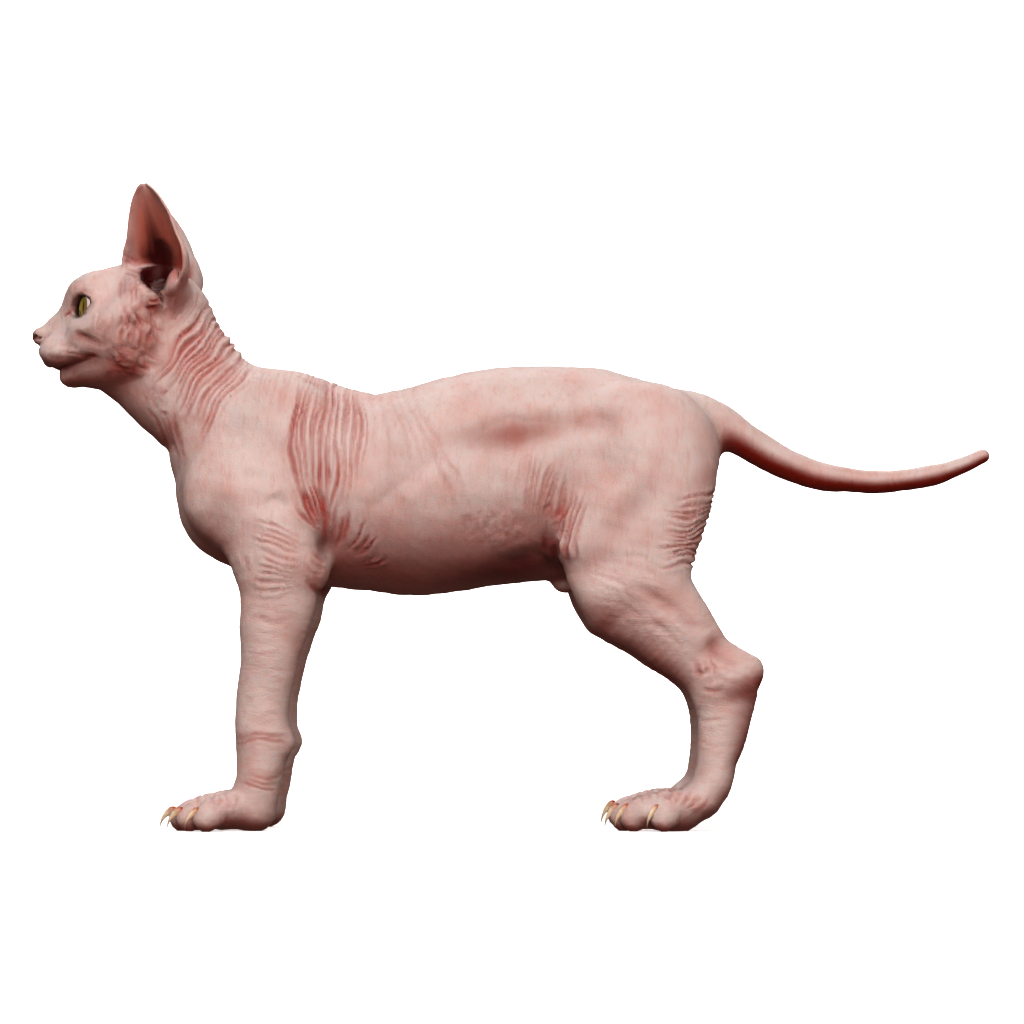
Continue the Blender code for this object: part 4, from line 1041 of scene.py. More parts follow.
def add_creases(points, height, red_and_shade, fold):
    """Press the creases into a height map, and note where skin is folded and how red the creases are
    painted, for their own redness and for painted shade.
    """
    bends = [ripple(points, size, seed) for size, seed in CREASE_BENDS]
    side = points[:, (0, 2)] + CREASE_BEND * np.column_stack(bends)
    middle, spread, size, seed = CREASE_STRENGTH
    strength = middle + spread * ripple(points, size, seed)
    for seed, (count, width, depth, lift, crease_red_and_shade, first, last) in enumerate(CREASES.values()):
        for line, size, wide in crease_lines(seed, count, width, first, last):
            reach = CREASE_REACH * wide
            near = ((side > line.min(axis=0) - reach) & (side < line.max(axis=0) + reach)).all(axis=1)
            if not near.any():
                continue
            gap, along = line_distance(side[near], line)
            taper = fade(np.minimum(along, 1 - along), 0, CREASE_TAPER)
            force = size * taper * strength[near]
            banks = bell(gap - BANK_PLACE * wide, BANK_WIDTH * wide)
            height[near] += CREASE_RAISE * force * (lift * banks - depth * groove(gap, wide))
            # A crease is painted dark red: its own redness and painted shade in one colour.
            tint = crease_red_and_shade * np.clip(force, 0, 1) * bell(gap, RED_AND_SHADE_WIDTH * wide)
            red_and_shade[near] = np.maximum(red_and_shade[near], tint)
            if width < WIDEST_WRINKLE:
                fold[near] = np.maximum(fold[near], taper * bell(gap, FOLD_WIDTH * wide))


# Patches of lumps: centre and radii in x and z, size, rise, lean in degrees, and a seed.
LUMPS = [
    ((-204, 277), (16, 20), 4.4, 2.1, -58, 3),
    ((-209, 259), (20, 11), 3.6, 1.6, -20, 4),
    ((-206.5, 300), (10, 9), 2.2, 0.9, 70, 5),
    ((-199, 240), (9, 10), 2.8, 0.8, -50, 6),
    ((-9, 165), (27, 13), 3.4, 0.7, 60, 7),
    ((-249, 266), (13, 6), 1.6, 0.45, 10, 9),
    ((66, 118), (26, 22), 5.5, 0.3, -15, 10),
    ((112, 84), (14, 16), 4.0, 0.4, 50, 12),
]
# How long and how deep a lump is against its size. Its pattern bends by a share of a lump, over a
# length in sizes.
LUMP_LENGTH = 1.6
LUMP_DEPTH = 1.4
LUMP_BEND = (0.35, 4)
# How far a dome reaches from a lump's middle and a seam from its edge, in lumps, how high the dome
# stands over its foot and how low the foot lies, as shares of the rise, and how red the seams are
# painted, for their own redness and for painted shade in them, in full from a rise on. The lumps
# fade towards the edge of their oval.
DOME_REACH = 0.8
SEAM_REACH = 0.3
DOME_HEIGHT = 1.3
DOME_FOOT = 0.8
SEAM_RED_AND_SHADE = 0.55
SEAM_RED_AND_SHADE_RISE = 1.5
LUMP_FADE = (1, 0.5)


def add_lumps(points, height, red_and_shade, centre, radii, size, rise, lean, seed):
    """Small rounded lumps of skin, with seams between them painted red for their own redness and for painted
    shade, within an oval.
    """
    offset = (points[:, (0, 2)] - np.array(centre)) / np.array(radii)
    inside = np.linalg.norm(offset, axis=1)
    near = np.nonzero(inside < 1)[0]
    lean = math.radians(lean)
    bend, length = LUMP_BEND
    warp = bend * np.column_stack([ripple(points[near], length * size, seed + i) for i in range(3)])
    for i, shift in zip(near, warp):
        x, y, z = points[i]
        long_way = (x * math.cos(lean) + z * math.sin(lean)) / (LUMP_LENGTH * size)
        short_way = (z * math.cos(lean) - x * math.sin(lean)) / size
        place = Vector((long_way, y / (LUMP_DEPTH * size), short_way + seed)) + Vector(shift)
        nearest, second = noise.voronoi(place)[0][:2]
        dome = 1 - min(nearest / DOME_REACH, 1) ** 2
        seam = max(1 - (second - nearest) / SEAM_REACH, 0)
        edge = fade(inside[i], *LUMP_FADE)
        height[i] += rise * edge * (DOME_HEIGHT * dome - DOME_FOOT)
        # The seams are painted dark red, partly as painted shade between the lumps.
        red_and_shade[i] = max(red_and_shade[i], SEAM_RED_AND_SHADE * min(rise / SEAM_RED_AND_SHADE_RISE, 1) * edge * seam ** 2)


# Broad hollows of the flanks: centre and radii in x and z, lean in degrees, depth, and the shade
# painted into them. One without a depth only paints shade.
DENTS = [
    ((0, 217.5), (30, 8), 8, 5.2, 0.62),
    ((38, 224), (24, 7), 3, 1.5, 0.25),
    ((-240, 253), (17, 6), 5, 0.0, 0.55),
    ((-160, 168), (8, 18), 20, 1.8, 0.2),
    ((-101, 158), (5, 9), -5, 3.0, 0.4),
    ((27, 172), (15, 22), -12, 2.6, 0.25),
    ((-67, 190), (9, 34), -8, 1.6, 0.15),
    ((-107, 175), (10, 24), 20, 2.2, 0.3),
    ((52, 205), (12, 22), 25, 1.4, 0.1),
    ((110, 100), (5, 17), 125, 1.8, 0.25),
    ((62, 173), (23, 9), 45, 2.4, 0.35),
    ((-207, 268), (15, 15), 0, 0.0, 0.3),
]
# Places so deep between belly and legs that they are painted nearly black, as painted shade: the
# same without a depth.
SHADOWS = [
    ((4, 143.5), (38, 6.5), 8, 0.75),
    ((-102, 155), (4.5, 8), -10, 0.6),
    ((19, 160), (5, 9), -35, 0.4),
]


def oval_fall(points, centre, radii, lean):
    """1 in the middle of an oval seen from the side, and falling to 0 all round it."""
    turn = math.radians(lean)
    along = np.array(((math.cos(turn), math.sin(turn)), (-math.sin(turn), math.cos(turn))))
    offset = (points[:, (0, 2)] - np.array(centre)) @ along.T / np.array(radii)
    return np.exp(-(offset ** 2).sum(axis=1))


def add_dents(points, height, painted_dent_shade):
    """Press the broad hollows in, and paint the shade in them."""
    for centre, radii, lean, depth, shade in DENTS:
        fall = oval_fall(points, centre, radii, lean)
        height -= depth * fall
        # Painted shade: each hollow is painted brown as it deepens.
        np.maximum(painted_dent_shade, shade * fall, out=painted_dent_shade)


# Creases across the top of a toe: a share of its length and a depth each, half a crease's width
# and how red it is painted, for its own redness and for painted shade. They lie between two
# heights, up to a share of the toe's length past its root, and fade towards its sides.
TOE_CREASES = ((0.3, 0.5), (0.52, 0.7), (0.74, 0.6))
TOE_CREASE_WIDTH = 0.8
TOE_CREASE_RED_AND_SHADE = 0.35
TOE_CREASE_HEIGHTS = (5, 30)
TOE_CREASE_END = 1.3
TOE_CREASE_SIDES = (7, 4)


def add_toe_creases(folded, height, red_and_shade):
    low, high = TOE_CREASE_HEIGHTS
    for root, tip in [*FORE_TOES.values(), *HIND_TOES.values()]:
        root, tip = np.array(root), np.array(tip)
        length = np.linalg.norm(tip - root)
        ahead = (tip - root) / length
        offset = folded[:, :2] - root
        travel = offset @ ahead / length
        aside = np.abs(offset @ np.array((-ahead[1], ahead[0])))
        near = (travel > 0) & (travel < TOE_CREASE_END) & (aside < TOE_CREASE_SIDES[0])
        near &= (folded[:, 2] > low) & (folded[:, 2] < high)
        hold = fade(aside[near], *TOE_CREASE_SIDES)
        for share, depth in TOE_CREASES:
            crease = hold * groove(np.abs(travel[near] - share) * length, TOE_CREASE_WIDTH)
            height[near] -= depth * crease
            # The creases are painted dark red, partly as painted shade.
            red_and_shade[near] = np.maximum(red_and_shade[near], TOE_CREASE_RED_AND_SHADE * crease)


# How uneven the smooth skin is: over what length, by how much, and a seed.
UNEVENNESS = ((34, 0.35, 11), (15, 0.16, 12), (7, 0.07, 13))
# The deepest and the highest that the skin is moved, and how much of that is lost on the ears.
MOVES = (-3.5, 2.5)
EAR_LOSS = 0.93
# Where things fade in on the skin, in millimetres: where each starts and where it is in full.
# From below upwards, or from above down, by height: the flat soles, the red of the pads, the folds
# across the limbs, the ears' walls, the ears that stay smooth, and their red cups behind the rim.
SOLE, PAD, LIMB = (0, 4), (4.2, 1.7), (150, 110)
EAR_WALLS, SMOOTH_EARS, HIGH_CUPS = (304, 312), (316, 324), (322, 330)
# By x, towards the tail: the tail, and the rear of the cups.
TAIL, REAR_CUPS = (105, 130), (-212, -206)
# By distance from the opening of the eye, from the nostrils' surface, from the middle of the nose,
# from the surface of the ears' hollows, ahead of their middle, and from the shade in the cup.
LIDS, NOSTRILS, NOSE = (0.2, 2.2), (0, -0.5), (6.2, 4.6)
EAR_HOLLOWS, HOLLOW_FACING, CUP_SHADE = (4.55, 1.05), (-4, 0), (4.5, 0)
# A skin point counts as an ear's wall this much beyond it, and as a lid ahead of the eye's middle
# and round the eyeball. The dark rim of the lids and the lips fall off over these widths.
WALL_SPARE = 0.4
LID_FRONT = 4
LID_ROUND = 4
LID_RIM = 0.7
LIP_WIDTH = 2.2
# The cup's colour: how far the skin faces into it, how plain the front and the rear rim are, over
# what width it comes in behind them, and how much of it is left on a rim.
FACES_CUP = (-0.1, 0.4)
PLAIN_RIMS = (1.5, 4)
RIM_FADE = 6
RIM_COLOUR = 0.3
# The cup in full counts as shaded from half its colour on, round a ball: centre and radii.
SHADED_CUP = (0, 0.5)
SHADE_BALL = ((-199, 27, 313), (7, 14, 14), 0)
# The nose's bare end: its middle and how it is stretched.
NOSE_MIDDLE = (-265.5, 0, 275)
NOSE_STRETCH = (1, 1.1, 0.9)
# Skin that faces down is painted darker and redder, as painted shade with a little flush of its own,
# between two slopes: on the tail also where it faces sideways. The body takes a share of it.
FACES_DOWN = (0.05, 0.85)
TAIL_TURN = 0.35
BODY_FLUSH_AND_SHADE = 0.75


def ear_walls(folded):
    """Where the skin is the wall of an ear, from 0 at its foot to 1."""
    wall = np.zeros(len(folded))
    start, end = EAR_WALLS
    for i in np.nonzero(in_ear_box(folded))[0]:
        place, _, _, gap = EAR_TREE.find_nearest(Vector(folded[i]))
        if gap < EAR_WALL[0] / 2 + WALL_SPARE:
            wall[i] = from_0_to_1((place.z - start) / (end - start))
    return wall


def folds_kept(folded, wall):
    """The share of its folds that the skin keeps: less than 1 on lids, soles and ears."""
    almond, local = opening_distance(folded)
    share = np.where(local[:, 2] > LID_FRONT, fade(almond, *LIDS), 1)
    share = np.minimum(share, fade(folded[:, 2], *SOLE))
    return share * (1 - EAR_LOSS * wall * fade(folded[:, 2], *SMOOTH_EARS))


def hollow_distance(folded, name):
    return ball_distance(folded, *HOLLOWS[name][1:])


def dark_lids_and_nostril_shade(folded):
    """The dark rims of the lids, and painted shade inside the nostrils."""
    almond, local = opening_distance(folded)
    around = (local[:, 2] > LID_FRONT) & (np.linalg.norm(local, axis=1) < EYE_RADIUS + LID_ROUND)
    rim = np.where(around, bell(np.maximum(almond, 0), LID_RIM), 0)
    # Inside the nostrils the dark is painted shade.
    for name in ("nostril", "nostril_slit"):
        rim = np.maximum(rim, fade(hollow_distance(folded, name), *NOSTRILS))
    return rim


def ear_cups(folded, normals, wall):
    """The inner sides of the ears, paler on their rims."""
    turn = math.radians(EAR_TURN)
    deep = np.array((math.sin(turn), -math.cos(turn), 0))
    cup = wall * fade(-(normals @ deep), *FACES_CUP)
    cup *= np.maximum(fade(folded[:, 0], *REAR_CUPS), fade(folded[:, 2], *HIGH_CUPS))
    ears = np.nonzero(cup)[0]
    for rim, plain in zip(EAR_RIMS, PLAIN_RIMS):
        gap, _ = line_distance(folded[ears], rim)
        cup[ears] *= RIM_COLOUR + (1 - RIM_COLOUR) * fade(gap, plain, plain + RIM_FADE)
    return cup


def painted_deep_shade(folded, normals, cup):
    """Painted shade, nearly black: in the ears' hollows and cups, and deep between belly and legs."""
    deep = np.zeros(len(folded))
    for *oval, shade in SHADOWS:
        deep = np.maximum(deep, shade * oval_fall(folded, *oval))
    for name in ("concha", "ear_canal"):
        inside = fade(hollow_distance(folded, name), *EAR_HOLLOWS)
        inwards = ((np.array(HOLLOWS[name][1]) - folded) * normals).sum(axis=1)
        deep = np.maximum(deep, inside * fade(inwards, *HOLLOW_FACING))
    shade = fade(ball_distance(folded, *SHADE_BALL), *CUP_SHADE)
    return np.maximum(deep, fade(cup, *SHADED_CUP) * shade)


def sculpt(skin):
    """Fold and wrinkle the smooth skin, and give the names of what the material needs to know."""
    points, normals = rows_of(skin, "co"), rows_of(skin, "normal")
    folded = folded_over(points)
    folded_normals = normals.copy()
    folded_normals[points[:, 1] < 0, 1] *= -1
    height, red_and_shade, fold, painted_dent_shade = np.zeros((4, len(points)))
    for size, rise, seed in UNEVENNESS:
        height += rise * ripple(points, size, seed)
    add_dents(points, height, painted_dent_shade)
    add_creases(points, height, red_and_shade, fold)
    for patch in LUMPS:
        add_lumps(points, height, red_and_shade, *patch)
    add_toe_creases(folded, height, red_and_shade)
    wall = ear_walls(folded)
    height = np.clip(height, *MOVES) * folds_kept(folded, wall)
    place_points(skin, points + height[:, None] * normals)

    cup = ear_cups(folded, folded_normals, wall)
    tail = fade(points[:, 0], *TAIL)
    down = fade(TAIL_TURN * tail - normals[:, 2], *FACES_DOWN)
    nose = far_from(folded / NOSE_STRETCH, np.array(NOSE_MIDDLE) / NOSE_STRETCH)
    masks = {
        "crease": red_and_shade,
        "rim": dark_lids_and_nostril_shade(folded),
        "cup": cup,
        # Painted shade, nearly black, in the ears' hollows and between belly and legs.
        "deep": painted_deep_shade(folded, folded_normals, cup),
        "lip": bell(line_distance(folded, MOUTH)[0], LIP_WIDTH),
        "nose": fade(nose, *NOSE),
        "pad": fade(points[:, 2], *PAD),
        # Painted shade, darker and redder, where the skin faces down.
        "under": down * (BODY_FLUSH_AND_SHADE + (1 - BODY_FLUSH_AND_SHADE) * tail),
        "limb": fade(points[:, 2], *LIMB),
        "fold": fold,
        "painted_dent_shade": painted_dent_shade,
    }
    for name, values in masks.items():
        store(skin, name, values)
    return list(masks)


SKIN_TRIANGLES = 198000
# What keeps its fine faces: the head, ahead of x and above a height, and the paws, below a height,
# against a lower weight elsewhere, and how strongly the weights count.
FINE_HEAD = (-185, 235)
FINE_PAWS = 40
PLAIN_WEIGHT = 0.2
WEIGHT_FACTOR = 4


def thin_out(skin):
    """Bring the skin under its number of triangles, finest on the head and the paws."""
    group = skin.vertex_groups.new(name="fine")
    points = rows_of(skin, "co")
    back, above = FINE_HEAD
    fine = ((points[:, 0] < back) & (points[:, 2] > above)) | (points[:, 2] < FINE_PAWS)
    for chosen, weight in ((fine, 1.0), (~fine, PLAIN_WEIGHT)):
        group.add(np.nonzero(chosen)[0].tolist(), weight, "REPLACE")
    triangles = sum(len(face.vertices) - 2 for face in skin.data.polygons)
    modify(skin, "DECIMATE", ratio=SKIN_TRIANGLES / triangles, vertex_group="fine",
           invert_vertex_group=False, vertex_group_factor=WEIGHT_FACTOR)
    apply_modifiers(skin)
    skin.vertex_groups.clear()


def dress(piece, material):
    """Make a piece smooth and give it one material."""
    piece.data.polygons.foreach_set("use_smooth", [True] * len(piece.data.polygons))
    piece.data.materials.clear()
    piece.data.materials.append(material)


def finish(piece, material):
    """Turn a piece to metres, smooth and dressed, and let it ride on the frame."""
    piece.data.transform(Matrix.Scale(MM, 4))
    dress(piece, material)
    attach(piece, "root")


def linear(code):
    """An sRGB hex colour as linear red, green and blue, with full cover."""
    parts = [int(code[i:i + 2], 16) / 255 for i in (1, 3, 5)]
    return (*[part / 12.92 if part <= 0.04045 else ((part + 0.055) / 1.055) ** 2.4 for part in parts], 1)


def new_material(name, inputs):
    """A material, its nodes and its shader, which takes the given values."""
    material = bpy.data.materials.new(name)
    material.use_nodes = True
    shader = material.node_tree.nodes["Principled BSDF"]
    for socket, value in inputs.items():
        shader.inputs[socket].default_value = value
    return material, material.node_tree, shader


def add_node(tree, kind, inputs=(), **settings):
    """Add a node: inputs maps a socket to a value, or to the output that feeds it."""
    node = tree.nodes.new("ShaderNode" + kind)
    for name, value in settings.items():
        setattr(node, name, value)
    for name, value in dict(inputs).items():
        if isinstance(value, bpy.types.NodeSocket):
            tree.links.new(value, node.inputs[name])
        else:
            node.inputs[name].default_value = value
    return node


def paint(tree, shader, base, layers):
    """Lay colours over a base, each by its share, and make them the shader's base colour."""
    colour = linear(base)
    for share, over in layers:
        # A Mix node takes its share at socket 0 and its two colours at 6 and 7.
        layer = add_node(tree, "Mix", {0: share, 6: colour, 7: linear(over)}, data_type="RGBA")
        colour = layer.outputs[2]
    tree.links.new(colour, shader.inputs["Base Color"])


# Bare skin, grown and folded. Light goes a few millimetres into it and comes out redder, blood
# shows where it is thin or creased, and a trace of oil gives it a broad soft gloss. Painted shade
# makes it darker and redder in its creases, hollows and deep places and where it faces down. Skin
# has an IOR of 1.4 and a roughness of 0.4 to 0.6. The scales of its noise are to the metre: 45 for
# blotches of 22 mm, 420 for wrinkles 2.4 mm apart, and 900 for a grain of 1.1 mm, which is a few
# times as coarse as the real one, so that it shows.
BLOTCH_SCALE = 45
WRINKLE_SCALE = 420
GRAIN_SCALE = 900
# How the wrinkles are drawn out in x, y and z: upright on the body, and across the limbs.
WRINKLE_STRETCHES = ((1, 0.7, 0.22), (0.25, 0.25, 1))


def skin_material(names):
    """The skin, painted by the masks of the given names."""
    material, tree, shader = new_material("bare_skin", {
        "Roughness": 0.55,
        "Subsurface Weight": 0.35,
        "Subsurface Radius": (1.0, 0.32, 0.18),
        "Subsurface Scale": 0.003,
        "Sheen Weight": 0.1,
        "Sheen Roughness": 0.5,
        "IOR": 1.4,
    })
    place = add_node(tree, "TexCoord").outputs["Object"]
    masks = {name: add_node(tree, "Attribute", attribute_name=name).outputs["Fac"] for name in names}

    wrinkles = []
    for stretch in WRINKLE_STRETCHES:
        along = add_node(tree, "VectorMath", {0: place, 1: stretch}, operation="MULTIPLY").outputs[0]
        wrinkles.append(add_node(tree, "TexNoise", {"Vector": along, "Scale": WRINKLE_SCALE, "Detail": 4,
                                                    "Roughness": 0.6, "Distortion": 0.5}).outputs["Fac"])
    wrinkle = add_node(tree, "Mix", {0: masks["limb"], 2: wrinkles[0], 3: wrinkles[1]}).outputs[0]
    furrow = add_node(tree, "MapRange", {"Value": wrinkle, "From Min": 0.3, "From Max": 0.5,
                                         "To Min": 0.22, "To Max": 0}).outputs[0]
    swell = add_node(tree, "MapRange", {"Value": masks["fold"], "To Min": 0.4, "To Max": 1.5}).outputs[0]
    wrinkle = add_node(tree, "Math", {0: wrinkle, 1: swell}, operation="MULTIPLY").outputs[0]

    blotch = add_node(tree, "TexNoise", {"Vector": place, "Scale": BLOTCH_SCALE, "Detail": 4})
    blotch = add_node(tree, "MapRange", {"Value": blotch.outputs["Fac"], "From Min": 0.42,
                                         "From Max": 0.72}).outputs[0]
    layers = [(blotch, "#D2B6B0"), (furrow, "#C08478")]
    # Painted shade among these layers: the brown of the dents, the dark red where the skin faces down, the
    # near-black of the deep places, part of the red of the creases and the dark inside the nostrils.
    for name, over in (("painted_dent_shade", "#8C5040"), ("under", "#82230F"), ("pad", "#9A6259"), ("cup", "#C27868"),
                       ("nose", "#8A5F5C"), ("lip", "#7E4444"), ("crease", "#A32C19"),
                       ("deep", "#4A0805"), ("rim", "#35130F")):
        layers.append((masks[name], over))
    paint(tree, shader, "#D6C8C4", layers)

    fine = add_node(tree, "TexNoise", {"Vector": place, "Scale": GRAIN_SCALE, "Detail": 3})
    grain = add_node(tree, "Math", {0: fine.outputs["Fac"], 1: 0.4, 2: wrinkle},
                     operation="MULTIPLY_ADD").outputs[0]
    bump = add_node(tree, "Bump", {"Height": grain, "Strength": 0.5, "Distance": 0.001})
    tree.links.new(bump.outputs[0], shader.inputs["Normal"])
    return material


def eye_ball():
    """The right eyeball, with its pole on the gaze and its iris set back flat."""
    mesh = bmesh.new()
    bmesh.ops.create_uvsphere(mesh, u_segments=64, v_segments=48, radius=EYE_RADIUS)
    for vert in mesh.verts:
        ring = math.hypot(vert.co.x, vert.co.y)
        if vert.co.z > 0 and ring < IRIS_RADIUS:
            vert.co.z = IRIS_DEPTH + IRIS_BULGE * (ring / IRIS_RADIUS) ** 2
    return mesh


def cornea():
    """A clear dome over the iris."""
    mesh = bmesh.new()
    bmesh.ops.create_uvsphere(mesh, u_segments=48, v_segments=32, radius=CORNEA_RADIUS)
    bmesh.ops.translate(mesh, verts=mesh.verts, vec=(0, 0, CORNEA_CENTRE))
    bmesh.ops.bisect_plane(mesh, geom=mesh.verts[:] + mesh.edges[:] + mesh.faces[:],
                           plane_co=(0, 0, CORNEA_EDGE), plane_no=(0, 0, 1), clear_inner=True)
    return mesh


def eye_place(sign):
    """From the eye's own space, its pole on Z and the slit upright on Y, to its place in the head."""
    mirror = Vector((1, sign, 1))
    gaze = Vector(EYE_LOOKS) * mirror
    along = Vector((0, 0, 1)).cross(gaze).normalized()
    up = gaze.cross(along).normalized()
    turn = Matrix((along, up, gaze)).transposed().to_4x4()
    return Matrix.Translation((EYE_CENTRE + EYE_FORWARD * EYE_LOOKS) * mirror) @ turn


# A living eyeball: a moist white ball with a flat iris of muscle fibres round an upright slit. It
# has a roughness of 0.3 to 0.4 under a thin film of tears, and the cornea ahead of it takes most
# of the gloss. Its rings are in millimetres from the gaze: where the brown round the slit starts
# and ends, the dark ring at the iris's edge, and how far ahead of the middle the iris starts.
INNER_RING = (1.2, 3.4)
DARK_RING = (5.3, 6.1)
IRIS_START = 5
# The fibres: their noise is drawn out along the radius, by factors for angle and ring, and scaled.
FIBRE_STRETCH = (9, 0.5, 1)
FIBRE_SCALE = 1.6
# The slit's soft edge, as shares of its half width and height.
PUPIL_EDGE = (0.8, 1.1)


def eye_material(place, name):
    """The eye's colours, worked out in the eye's own space."""
    material, tree, shader = new_material(name, {
        "Roughness": 0.35,
        "Coat Weight": 0.15,
        "Coat Roughness": 0.03,
    })
    here = add_node(tree, "TexCoord").outputs["Object"]
    metres = Matrix.Translation(place.translation * MM) @ place.to_3x3().to_4x4()
    back = metres.inverted()
    turned = add_node(tree, "Mapping", {"Vector": here, "Location": back.translation,
                                        "Rotation": back.to_euler()}).outputs[0]
    scaled = add_node(tree, "VectorMath", {0: turned, "Scale": 1 / MM}, operation="SCALE").outputs[0]
    parts = add_node(tree, "SeparateXYZ", {0: scaled}).outputs
    flat = add_node(tree, "CombineXYZ", {"X": parts["X"], "Y": parts["Y"]}).outputs[0]
    ring = add_node(tree, "VectorMath", {0: flat}, operation="LENGTH").outputs["Value"]
    angle = add_node(tree, "Math", {0: parts["Y"], 1: parts["X"]}, operation="ARCTAN2").outputs[0]
    spoke = add_node(tree, "CombineXYZ", {"X": angle, "Y": ring}).outputs[0]
    spoke = add_node(tree, "VectorMath", {0: spoke, 1: FIBRE_STRETCH}, operation="MULTIPLY").outputs[0]
    fibre = add_node(tree, "TexNoise", {"Vector": spoke, "Scale": FIBRE_SCALE, "Detail": 4}).outputs["Fac"]
    inner = add_node(tree, "MapRange", {"Value": ring, "From Min": INNER_RING[0], "From Max": INNER_RING[1],
                                        "To Min": 0.8, "To Max": 0}).outputs[0]
    limbus = add_node(tree, "MapRange", {"Value": ring, "From Min": DARK_RING[0],
                                         "From Max": DARK_RING[1]}).outputs[0]
    pupil = (1 / PUPIL[0], 1 / PUPIL[1], 0)
    slit = add_node(tree, "VectorMath", {0: flat, 1: pupil}, operation="MULTIPLY").outputs[0]
    slit = add_node(tree, "VectorMath", {0: slit}, operation="LENGTH").outputs["Value"]
    slit = add_node(tree, "MapRange", {"Value": slit, "From Min": PUPIL_EDGE[0], "From Max": PUPIL_EDGE[1],
                                       "To Min": 1, "To Max": 0}).outputs[0]
    outside = add_node(tree, "Math", {0: ring, 1: IRIS_RADIUS}, operation="GREATER_THAN").outputs[0]
    behind = add_node(tree, "Math", {0: parts["Z"], 1: IRIS_START}, operation="LESS_THAN").outputs[0]
    outside = add_node(tree, "Math", {0: outside, 1: behind}, operation="MAXIMUM").outputs[0]
    paint(tree, shader, "#C9BA52", [(fibre, "#EFE694"), (inner, "#CF9E48"), (limbus, "#7A6A2A"),
                                    (slit, "#3A1A0E"), (outside, "#D8D0CD")])
    return material


def cornea_material():
    """A living cornea: clear and wet with tears, so that it adds only sharp lights, at an IOR of 1.376."""
    return new_material("wet_cornea", {
        "Base Color": linear("#000000"),
        "Roughness": 0.02,
        "IOR": 1.376,
        "Alpha": 0.2,
    })[0]


# Keratin horn, grown in thin sheaths and worn smooth: ivory and let through by light, red at the
# quick and brown at the tip. It has an IOR of 1.54 and a roughness of 0.2 to 0.4. Its streaks are
# at 700 to the metre, 1.4 mm apart, coarser than real ones, so that they show. Quick and tip
# come in along the claw, from 0 at its root to 1 at its tip.
STREAK_SCALE = 700
QUICK = (0.12, 0.42)
BROWN_TIP = (0.6, 1.0)


def claw_horn():
    material, tree, shader = new_material("claw_horn", {
        "Roughness": 0.28,
        "Subsurface Weight": 0.2,
        "Subsurface Scale": 0.001,
        "IOR": 1.54,
    })
    along = add_node(tree, "Attribute", attribute_name="along").outputs["Fac"]
    place = add_node(tree, "TexCoord").outputs["Object"]
    streak = add_node(tree, "TexNoise", {"Vector": place, "Scale": STREAK_SCALE, "Detail": 2}).outputs["Fac"]
    quick = add_node(tree, "MapRange", {"Value": along, "From Min": QUICK[0], "From Max": QUICK[1],
                                        "To Min": 1, "To Max": 0}).outputs[0]
    tip = add_node(tree, "MapRange", {"Value": along, "From Min": BROWN_TIP[0],
                                      "From Max": BROWN_TIP[1]}).outputs[0]
    paint(tree, shader, "#F0E5CE", [(streak, "#D6C2A0"), (quick, "#B05A3A"), (tip, "#5E4735")])
    return material


# A claw's blunt tip against its root, how far along it its root is round, and the power by which
# it thins.
CLAW_TIP = 0.05
CLAW_ROUND_ROOT = 0.22
CLAW_THINS = 0.5


def claw(foot, root, tip, sign):
    """A hooked claw from inside a toe's end down to just above the floor."""
    mesh = bmesh.new()
    bmesh.ops.create_cone(mesh, cap_ends=True, segments=CLAW_SIDES, radius1=1, radius2=CLAW_TIP, depth=1)
    rungs = [edge for edge in mesh.edges if abs(edge.verts[0].co.z - edge.verts[1].co.z) > 0.5]
    bmesh.ops.subdivide_edges(mesh, edges=rungs, cuts=CLAW_RINGS - 1)
    ahead = Vector((tip[0] - root[0], sign * (tip[1] - root[1]), 0)).normalized()
    side, up = Vector((-ahead.y, ahead.x, 0)), Vector((0, 0, 1))
    starts, reach, top, depth, width = CLAWS[foot]
    start = Vector((tip[0], sign * tip[1], top)) + ahead * starts
    travels = []
    for vert in mesh.verts:
        travel = vert.co.z + 0.5
        bend = travel * math.pi / 2
        spine = start + ahead * reach * math.sin(bend) - up * (top - CLAW_TIP_HEIGHT) * (1 - math.cos(bend))
        thin = (1 - travel) ** CLAW_THINS * math.sqrt(min(travel / CLAW_ROUND_ROOT, 1))
        lift = ahead * math.sin(bend) + up * math.cos(bend)
        vert.co = spine + (lift * vert.co.y * depth + side * vert.co.x * width) * thin
        travels.append(travel)
    bmesh.ops.recalc_face_normals(mesh, faces=mesh.faces)
    return mesh, travels


def claws(name, foot, toes, sign, material):
    """The claws of one paw as one piece, which knows how far along its claw each vertex is."""
    whole, travels = bmesh.new(), []
    for root, tip in toes.values():
        mesh, along = claw(foot, root, tip, sign)
        pour(mesh, whole)
        travels += along
    piece = new_piece(name, whole)
    store(piece, "along", travels)
    finish(piece, material)


FLESH = ["head", "neck", "torso", "tail_root", "tail_middle", "tail_tip"]
LIMBS = ["upper_arm", "forearm", "fore_paw", "thigh", "shank", "hind_foot", "hind_paw", "ear"]

skin = bare_skin()
masks = sculpt(skin)
thin_out(skin)
finish(skin, skin_material(masks))
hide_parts(*FLESH, *[side + limb for side in ("left_", "right_") for limb in LIMBS])

horn = claw_horn()
clear = cornea_material()
for side, sign in (("left", -1), ("right", 1)):
    place = eye_place(sign)
    ball = eye_ball()
    bmesh.ops.transform(ball, matrix=place, verts=ball.verts)
    eye = new_piece(side + "_eyeball", ball)
    finish(eye, eye_material(place, side + "_eye_globe"))
    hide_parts(side + "_eye")
    dome = cornea()
    bmesh.ops.transform(dome, matrix=place, verts=dome.verts)
    finish(new_piece(side + "_cornea", dome), clear)
    claws(side + "_fore_claws", "fore", FORE_TOES, sign, horn)
    claws(side + "_hind_claws", "hind", HIND_TOES, sign, horn)

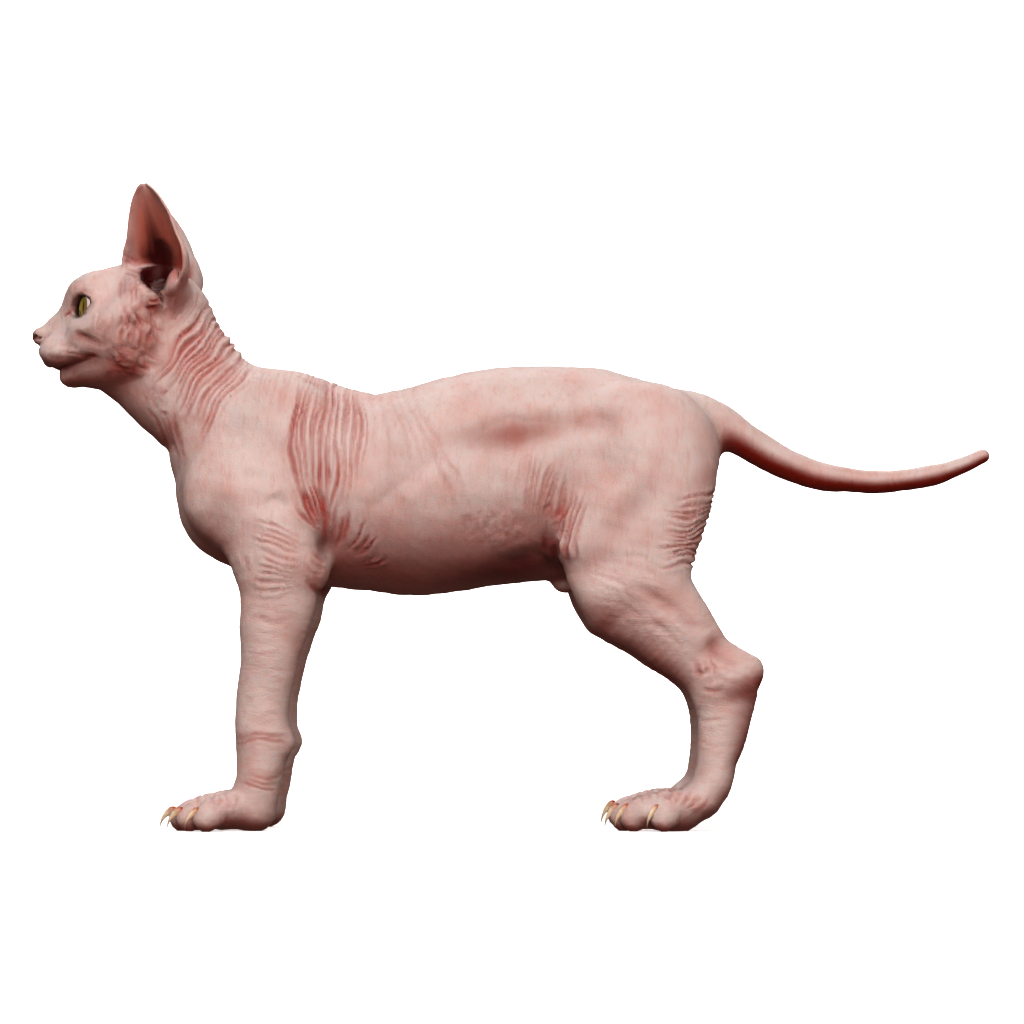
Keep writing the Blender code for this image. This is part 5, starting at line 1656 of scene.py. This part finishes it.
# The floor, in metres: half its width, where it starts, how long a run of 1 is, the shares of the
# run over which it bends, the radius of the bend, and how fast it rises behind.
FLOOR_HALF_WIDTH = 4
FLOOR_START = -3
FLOOR_RUN = 10
FLOOR_BEND = (0.55, 0.25)
BEND_RADIUS = 1.2
WALL_RUN = 12
FLOOR_ROWS = 40


def background_paper(colour):
    """Matt background paper, lit a little from within so that it stays pale."""
    return new_material("pale_floor", {
        "Base Color": linear(colour),
        "Roughness": 0.9,
        "Emission Color": linear("#FFFFFF"),
        "Emission Strength": 0.45,
    })[0]


def set_stage():
    """A pale floor that curves up into a backdrop, and that the cat doesn't mirror."""
    mesh = bmesh.new()
    bmesh.ops.create_grid(mesh, x_segments=1, y_segments=FLOOR_ROWS, size=1)
    level, length = FLOOR_BEND
    for vert in mesh.verts:
        run = (vert.co.y + 1) / 2
        bend = from_0_to_1((run - level) / length) * math.pi / 2
        back = FLOOR_START + min(run, level) * FLOOR_RUN + BEND_RADIUS * math.sin(bend)
        rise = BEND_RADIUS * (1 - math.cos(bend)) + max(run - (level + length), 0) * WALL_RUN
        vert.co = Vector((vert.co.x * FLOOR_HALF_WIDTH, back, rise))
    floor = new_piece("floor", mesh)
    dress(floor, background_paper("#F4F2F1"))
    floor.visible_diffuse = False
    floor.visible_glossy = False


def add_light(name, place, aim, size, power, colour="#FFFFFF"):
    data = bpy.data.lights.new(name, "AREA")
    data.shape = "RECTANGLE"
    data.size, data.size_y = size
    data.energy = power
    data.color = linear(colour)[:3]
    light = bpy.data.objects.new(name, data)
    light.location = place
    light.rotation_euler = (Vector(aim) - Vector(place)).to_track_quat("-Z", "Y").to_euler()
    scene.collection.objects.link(light)


def set_world():
    """A white studio as the camera sees it, which fills the shadows with a little warm light."""
    world = bpy.data.worlds.new("studio")
    scene.world = world
    world.use_nodes = True
    tree = world.node_tree
    fill = tree.nodes["Background"]
    fill.inputs["Color"].default_value = linear("#FFD6C8")
    fill.inputs["Strength"].default_value = 0.13
    seen = add_node(tree, "Background", {"Color": linear("#FFFFFF"), "Strength": 1.0}).outputs[0]
    ray = add_node(tree, "LightPath").outputs["Is Camera Ray"]
    both = add_node(tree, "MixShader", {0: ray, 1: fill.outputs[0], 2: seen}).outputs[0]
    tree.links.new(both, tree.nodes["World Output"].inputs["Surface"])


set_stage()
add_light("top_light", (-0.1, -0.35, 1.9), (0, 0, 0.2), (1.6, 1.2), 4.5)
add_light("front_light", (-0.25, -1.75, 1.35), (0, 0, 0.15), (1.8, 1.2), 22)
add_light("low_light", (0.25, -1.9, 0.35), (0, 0, 0.08), (1.6, 0.6), 9.5, "#FFE8DF")
add_light("backdrop_light", (0, 1.6, 2.2), (0, 3.4, 0.3), (3.0, 0.8), 150)
set_world()
scene.view_settings.view_transform = "Standard"
scene.view_settings.look = "High Contrast"
